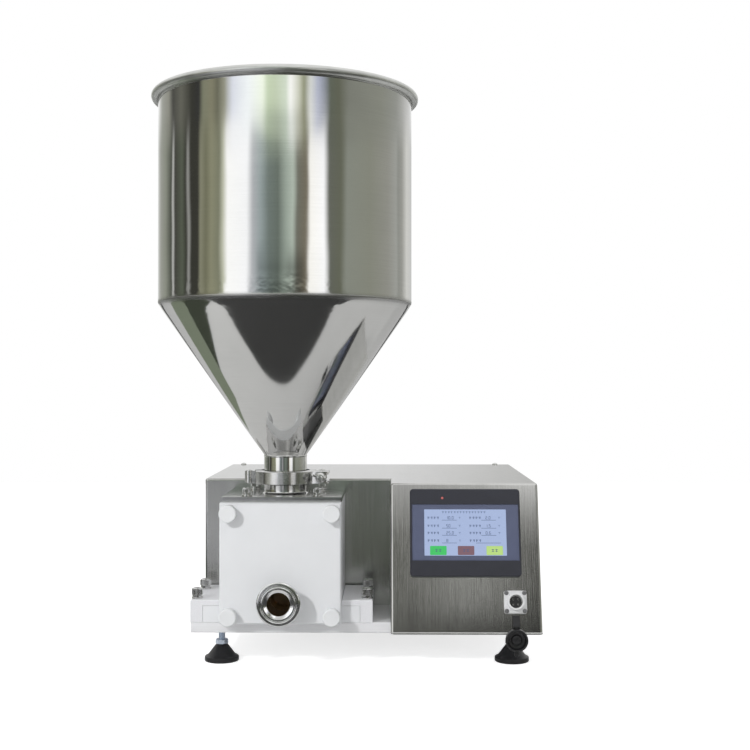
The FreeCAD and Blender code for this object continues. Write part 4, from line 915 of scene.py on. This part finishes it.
def socket_screws(node, thread, head, flat, spring, key):
    """Every socket-head screw of a node with its flat and its spring washer.

    The thread is (radius, pitch); the head and both washers are (radius, height).
    """
    low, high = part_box(node)
    radius, pitch = thread
    top = high.z / MM
    under = top - head[1]
    middle = under - spring[1]
    seat = middle - flat[1]
    bore = radius + 0.15
    outline = [(bore, seat), (flat[0] - 0.25, seat), (flat[0], seat + 0.25)]
    outline += [(flat[0], middle - 0.3), (flat[0] - 0.3, middle), (bore, middle)]
    for number, group in enumerate(vertices_by_screw(node), 1):
        x = (min(p.x for p in group) + max(p.x for p in group)) / 2
        y = (min(p.y for p in group) + max(p.y for p in group)) / 2
        whole = merged(
            knurled_head(head[0], under, top, key),
            split_washer(radius + 0.1, spring[0] - 0.45, middle + 0.02, under - 0.02, 130 + 70 * number),
            lathe(outline, 72),
            threaded_rod(radius, pitch, pitch * 0.5, low.z / MM, under - 0.05),
        )
        piece(f"{node}_{number}", whole, "bright", [node], 30, upright(x, y))


# ---- thumb screws
def thumb_screws():
    rod, pitch = M6
    head = 10.8
    for number in range(1, 5):
        node = f"thumb_screw_{number}"
        low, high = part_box(node)
        radius = (high.x - low.x) / 2 / MM
        front, tip = low.y / MM, high.y / MM
        back = front + head
        outline = [(0.0, front + 0.25), (radius - 3.4, front + 0.22), (radius - 2.2, front + 0.02)]
        outline += arc(radius - 1.7, front + 1.7, 1.7, -85, 0, 8)
        outline += arc(radius - 0.9, back - 0.9, 0.9, 0, 85, 5)
        outline += [(rod + 0.02, back), (rod + 0.02, back - 4), (0.0, back - 4)]
        place = pointing_front(*centre_of(node).xz)
        piece(node + "_knob", lathe(outline), "knob", [node], 40, place, node)
        thread = threaded_rod(rod, pitch, 0.5, back - 3.9, tip, 1.0)
        piece(node + "_rod", thread, "bright", [], 28, place, node)


# ---- outlet
def outlet():
    low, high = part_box("outlet_ferrule")
    front, back = low.y / MM, high.y / MM
    rim = (high.x - low.x) / 2 / MM
    bore, tube, flange = 13.0, 15.0, 21.0
    groove = 19.7
    outline = [(bore, back), (bore, front + 1.7)]
    outline += [(bore + 0.3, front + 1.3), (bore + 3.4, front + 0.15)]
    outline += [(bore + 3.8, front + 0.03), (bore + 4.2, front), (groove - 1.7, front)]
    outline += arc(groove, front - 0.15, 1.7, 175, 5, 12)
    outline += [(groove + 1.7, front), (groove + 2.9, front)]
    outline += arc(rim - 2.2, front + 2.2, 2.2, -85, 0, 8)
    outline += arc(rim - 0.5, front + 2.4, 0.5, 0, 60, 4)
    outline += arc(tube + 1.9, front + 5.6, 1.9, -110, -180, 6)
    outline += [(tube, back - 3.1), (flange, back - 3.0), (flange, back)]
    bm = lathe(outline, 128)
    place = pointing_front(*OUTLET_AXIS)
    node = "outlet_ferrule"
    piece("outlet_ferrule_turned", bm, "ferrule", [node], 40, place)


# ---- clamp bolt and wing nut
def clamp_bolt():
    low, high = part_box("swing_bolt")
    middle = centre_of("swing_bolt")
    place = Matrix.Translation((middle.x, 0, middle.z))
    eye = (high.x - low.x) / 2 / MM
    pivot = high.y / MM - eye
    half = (high.z - low.z) / 2 / MM
    rod, pitch = M6
    pin = 2.6
    outline = [(pin, -half), (eye - 0.8, -half)]
    outline += arc(eye - 0.8, -half + 0.8, 0.8, -90, 0, 4)
    outline += arc(eye - 0.8, half - 0.8, 0.8, 0, 90, 4)
    outline += [(pin, half)]
    ring = moved(lathe(outline, 64), 0, pivot * MM, 0)
    thread = turned(threaded_rod(rod, pitch, 0.5, low.y / MM, pivot - eye + 1.0, 0.9), -90, "X")
    bolt = merged(ring, thread)
    node = "swing_bolt"
    piece("swing_bolt_threaded", bolt, "bright", [node], 30, place, node)

    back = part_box("wing_nut")[1].y / MM
    outline = [(rod + 0.1, back), (5.7, back)]
    outline += arc(5.5, back - 0.5, 0.5, 80, -10, 3)
    outline += [(5.9, back - 2.0), (5.4, back - 3.4), (4.9, back - 5.6)]
    outline += arc(3.9, back - 6.6, 0.6, 10, -80, 4)
    outline += [(rod + 0.1, back - 7.2)]
    parts = [turned(lathe(outline, 64), -90, "X")]
    face = [(4.0, -1.6), (5.6, -1.6), (8.5, -2.6), (10.8, -4.2)] + arc(9.3, -7.6, 2.6, 40, -120, 10)
    face += [(6.6, -8.8), (5.4, -7.4), (4.0, -6.2)]
    lean = 22
    for turn in (0, 180):
        wing = extruded([(x, y + back) for x, y in face], -1.2, 1.2, 0.45)
        parts.append(turned(wing, turn + lean, "Y"))
    nut = merged(*parts)
    node = "wing_nut"
    piece("wing_nut_cast", nut, "bright", [node], 40, place, node)


# ---- dust cap
def dust_cap():
    low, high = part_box("dust_cap")
    radius = (high.x - low.x) / 2 / MM
    front, foot = low.y / MM, low.z / MM
    back = front + 9.0
    cap_z = foot + 7.0 + radius
    outline = [(0.0, back), (radius - 1.4, back)]
    outline += arc(radius - 1.2, back - 1.2, 1.2, 85, 0, 5)
    outline += arc(radius - 1.2, front + 1.2, 1.2, 0, -180, 12)
    outline += [(radius - 2.6, front + 3.2), (radius - 3.2, back - 3.2)]
    outline += arc(6.4, back - 3.4, 0.9, 90, 180, 4)
    outline += [(5.2, back - 4.6), (3.6, back - 5.2), (0.0, back - 5.4)]
    cap = moved(turned(lathe(outline), -90, "X"), 0, 0, cap_z * MM)

    top_z, top_y = high.z / MM, high.y / MM
    foot_z = cap_z + radius - 3.0
    width, thick = 8.3, 2.0
    steps = 24
    depths = [top_y + (back - top_y) * min(1.0, k / steps / 0.72) - 0.001 for k in range(steps + 1)]
    for _ in range(6):
        depths[1:-1] = [(a + 2 * b + c) / 4 for a, b, c in zip(depths, depths[1:], depths[2:])]
    section = rounded_box(0, 0, width, thick, 0.6)
    strap = bmesh.new()
    rings = []
    for k, y in enumerate(depths):
        z = top_z + (foot_z - top_z) * k / steps
        rings.append([strap.verts.new((u * MM, (y - thick / 2 + v) * MM, z * MM)) for u, v in section])
    solid(strap, rings)

    tab_w = 2.5
    face = [(tab_w, cap_z - radius + 2)] + arc(0, foot + tab_w, tab_w, 0, -180, 14)
    face += [(-tab_w, cap_z - radius + 2)]
    tab = turned(extruded(face, -back, -back + 2.4, 0.4), 90, "X")
    place = Matrix.Translation((centre_of("dust_cap").x, 0, 0))
    whole = merged(cap, strap, tab)
    piece("dust_cap_moulded", whole, "rubber", ["dust_cap"], 40, place, "dust_cap")


# ---- touch screen
def plane_of(node):
    """The node's largest front face: x to the right, y inwards, z up along it."""
    cad = frame["nodes"][node]
    front = max((p for p in cad.data.polygons if p.normal.y < -0.5), key=lambda p: p.area)
    inwards = -front.normal
    flat = [p for p in cad.data.polygons if p.normal.dot(inwards) < -0.9999]
    level = min(p.center.dot(inwards) for p in flat)
    face = [p for p in flat if abs(p.center.dot(inwards) - level) < 1e-5]
    corners = [cad.data.vertices[v].co for p in face for v in p.vertices]
    low = Vector([min(c[k] for c in corners) for k in range(3)])
    high = Vector([max(c[k] for c in corners) for k in range(3)])
    right = Vector((1, 0, 0))
    turn = Matrix((right, inwards, right.cross(inwards))).transposed().to_4x4()
    return Matrix.Translation((low + high) / 2) @ turn


# How far in front of the glass each layer of the picture starts and ends.
DISPLAY_LAYER = (0.02, 0.30)
BUTTON_LAYER = (0.31, 0.62)
INK_LAYER = (0.31, 0.42)
SOFT_INK_LAYER = (0.31, 0.40)
BUTTON_INK_LAYER = (0.64, 0.74)

SEGMENTS = {
    "0": "abcdef",
    "1": "bc",
    "2": "abged",
    "5": "afgcd",
    "6": "afgedc",
    "8": "abcdefg",
}


def rounded_card(w, h, x, z, layer, radius=0.2, bevel=0.0):
    """A flat rounded plate on the screen, centred at x, z."""
    return turned(extruded(rounded_box(x, z, w, h, radius), *layer, bevel), 90, "X")


def bars_at(x, z, layer, bars):
    """Bars in place of a letter: each is (width, height, to the right, up)."""
    return [rounded_card(w, h, x + right, z + up, layer) for w, h, right, up in bars]


def digits(text, x, z):
    """Seven-segment figures, starting at x."""
    height, width, stroke = 3.2, 1.6, 0.45
    corner = stroke * 0.3
    bars = {
        "a": (width, stroke, 0.5, 0.5),
        "g": (width, stroke, 0.5, 0.0),
        "d": (width, stroke, 0.5, -0.5),
        "f": (stroke, height / 2, 0.0, 0.25),
        "b": (stroke, height / 2, 1.0, 0.25),
        "e": (stroke, height / 2, 0.0, -0.25),
        "c": (stroke, height / 2, 1.0, -0.25),
    }
    parts = []
    for figure in text:
        if figure == ".":
            dot = stroke * 1.3
            parts.append(rounded_card(dot, dot, x, z - height / 2, INK_LAYER, corner))
            x += stroke * 2.6
            continue
        for letter in SEGMENTS[figure]:
            w, h, across, rise = bars[letter]
            parts.append(rounded_card(w, h, x + width * across, z + height * rise, INK_LAYER, corner))
        x += width + stroke * 2.4
    return parts


def title_bars():
    parts = []
    x, pitch = -27.0, 3.45
    for w in (2.6, 2.4, 2.6, 2.2, 2.6, 2.6, 2.3, 2.6, 2.4, 2.6, 2.6, 2.2, 2.6, 2.5, 2.6):
        bars = [(w, 0.55, 0, 1.0), (w * 0.8, 0.5, 0, -0.1), (0.55, 2.6, 0, 0)]
        parts += bars_at(x + w / 2, 23.3, SOFT_INK_LAYER, bars)
        x += pitch
    return parts


def touch_screen():
    place = plane_of("screen_glass")

    def add(name, look_name, parts):
        piece(name, merged(*parts), look_name, [], 30, place)

    add("screen_display", "display", [rounded_card(95.0, 53.9, 0, -0.2, DISPLAY_LAYER, 0.6, 0.1)])
    ink, soft = [], title_bars()
    # A row is its height and two values; a column is where its label, field and unit start.
    rows = [(16.7, ("10.0", "2.0")), (7.3, ("50", "1.5")), (-1.0, ("25.0", "0.6")), (-9.9, ("8", ""))]
    columns = [(-44.0, -27.0, -7.6), (4.6, 18.6, 38.2)]
    for z, values in rows:
        for value, (label_x, field_x, unit_x) in zip(values, columns):
            for k in range(4):
                bars = [(2.5, 0.55, 0, 1.0), (2.1, 0.5, 0, -0.1), (0.55, 3.0, 0.4 if k % 2 else -0.5, 0.1)]
                ink += bars_at(label_x + 1.5 + 3.6 * k, z, INK_LAYER, bars)
            field_w, field_mid = (17.2, field_x + 8.6) if value else (29.0, 26.5)
            ink.append(rounded_card(field_w, 0.45, field_mid, z - 2.6, INK_LAYER))
            if value:
                ink += digits(value, field_x + 5.2, z + 0.2)
                soft += bars_at(unit_x + 1.2, z, SOFT_INK_LAYER, [(2.6, 0.5, 0, 0.9), (0.5, 2.4, 0, 0)])
    button_z = -21.2
    for x, colour in ((-31.5, "green"), (0.5, "brown"), (33.5, "lime")):
        button = rounded_card(19.0, 10.5, x, button_z, BUTTON_LAYER, 0.8, 0.15)
        add("screen_button_" + colour, colour, [button])
        for side in (-2.1, 2.1):
            bars = [(2.9, 0.6, 0, 1.1), (2.5, 0.6, 0, -0.9), (0.6, 3.4, 0, 0)]
            ink += bars_at(x + side, button_z, BUTTON_INK_LAYER, bars)
    add("screen_ink", "ink", ink)
    add("screen_soft_ink", "ink_soft", soft)

    lamp_x, lamp_z = -26.3, 40.1
    outline = [(0.0, 0.0), (1.5, 0.0), (1.5, 0.25), (1.1, 0.62), (0.5, 0.85), (0.0, 0.9)]
    lamp = turned(lathe(outline, 32), 90, "X")
    raise_by = (place.inverted() @ plane_of("screen_housing").translation).y
    moved(lamp, lamp_x * MM, raise_by + 0.0003, lamp_z * MM)
    piece("screen_lamp", lamp, "led", [], 40, place)


def pedal_socket():
    """Four contact tubes in the insert's holes, and a bright collar."""
    circle = 4.0
    tubes = []
    for number in range(4):
        a = radians(45 + 90 * number)
        outline = [(0.55, -3.0), (1.05, -3.0), (1.05, 0.35), (0.9, 0.5), (0.55, 0.5)]
        tube = turned(lathe(outline, 24), 90, "X")
        tubes.append(moved(tube, circle * MM * cos(a), 0, circle * MM * sin(a)))
    collar = turned(lathe([(6.6, -0.4), (7.5, -0.4), (7.5, 0.5), (6.9, 0.5), (6.6, 0.2)], 64), 90, "X")
    place = plane_of("socket_insert")
    whole = merged(*tubes, collar)
    piece("socket_contacts", whole, "bright", [], 30, place)


def panel_hem():
    """The control box's front sheet is folded under at its foot: a slim rounded edge."""
    length, radius = 172.6, 1.3
    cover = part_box("housing_cover")[0]
    left = centre_of("screen_housing").x - length / 2 * MM
    outline = [(0.0, 0.0), (radius - 0.3, 0.0), (radius, 0.3)]
    outline += [(radius, length - 0.3), (radius - 0.3, length), (0.0, length)]
    rod = turned(lathe(outline, 32), 90, "Y")
    place = Matrix.Translation((left, cover.y + (radius + 0.15) * MM, cover.z + radius * MM))
    piece("housing_cover_hem", rod, "bright", [], 30, place)


hopper()
top_plate()
feet()
socket_screws("gib_bolts", M8, head=(6.5, 8.0), flat=(6.7, 1.6), spring=(6.2, 2.2), key=6.0)
socket_screws("top_plate_bolts", M6, head=(5.0, 6.0), flat=(6.0, 1.6), spring=(5.0, 1.6), key=5.0)
thumb_screws()
outlet()
clamp_bolt()
dust_cap()
touch_screen()
pedal_socket()
panel_hem()
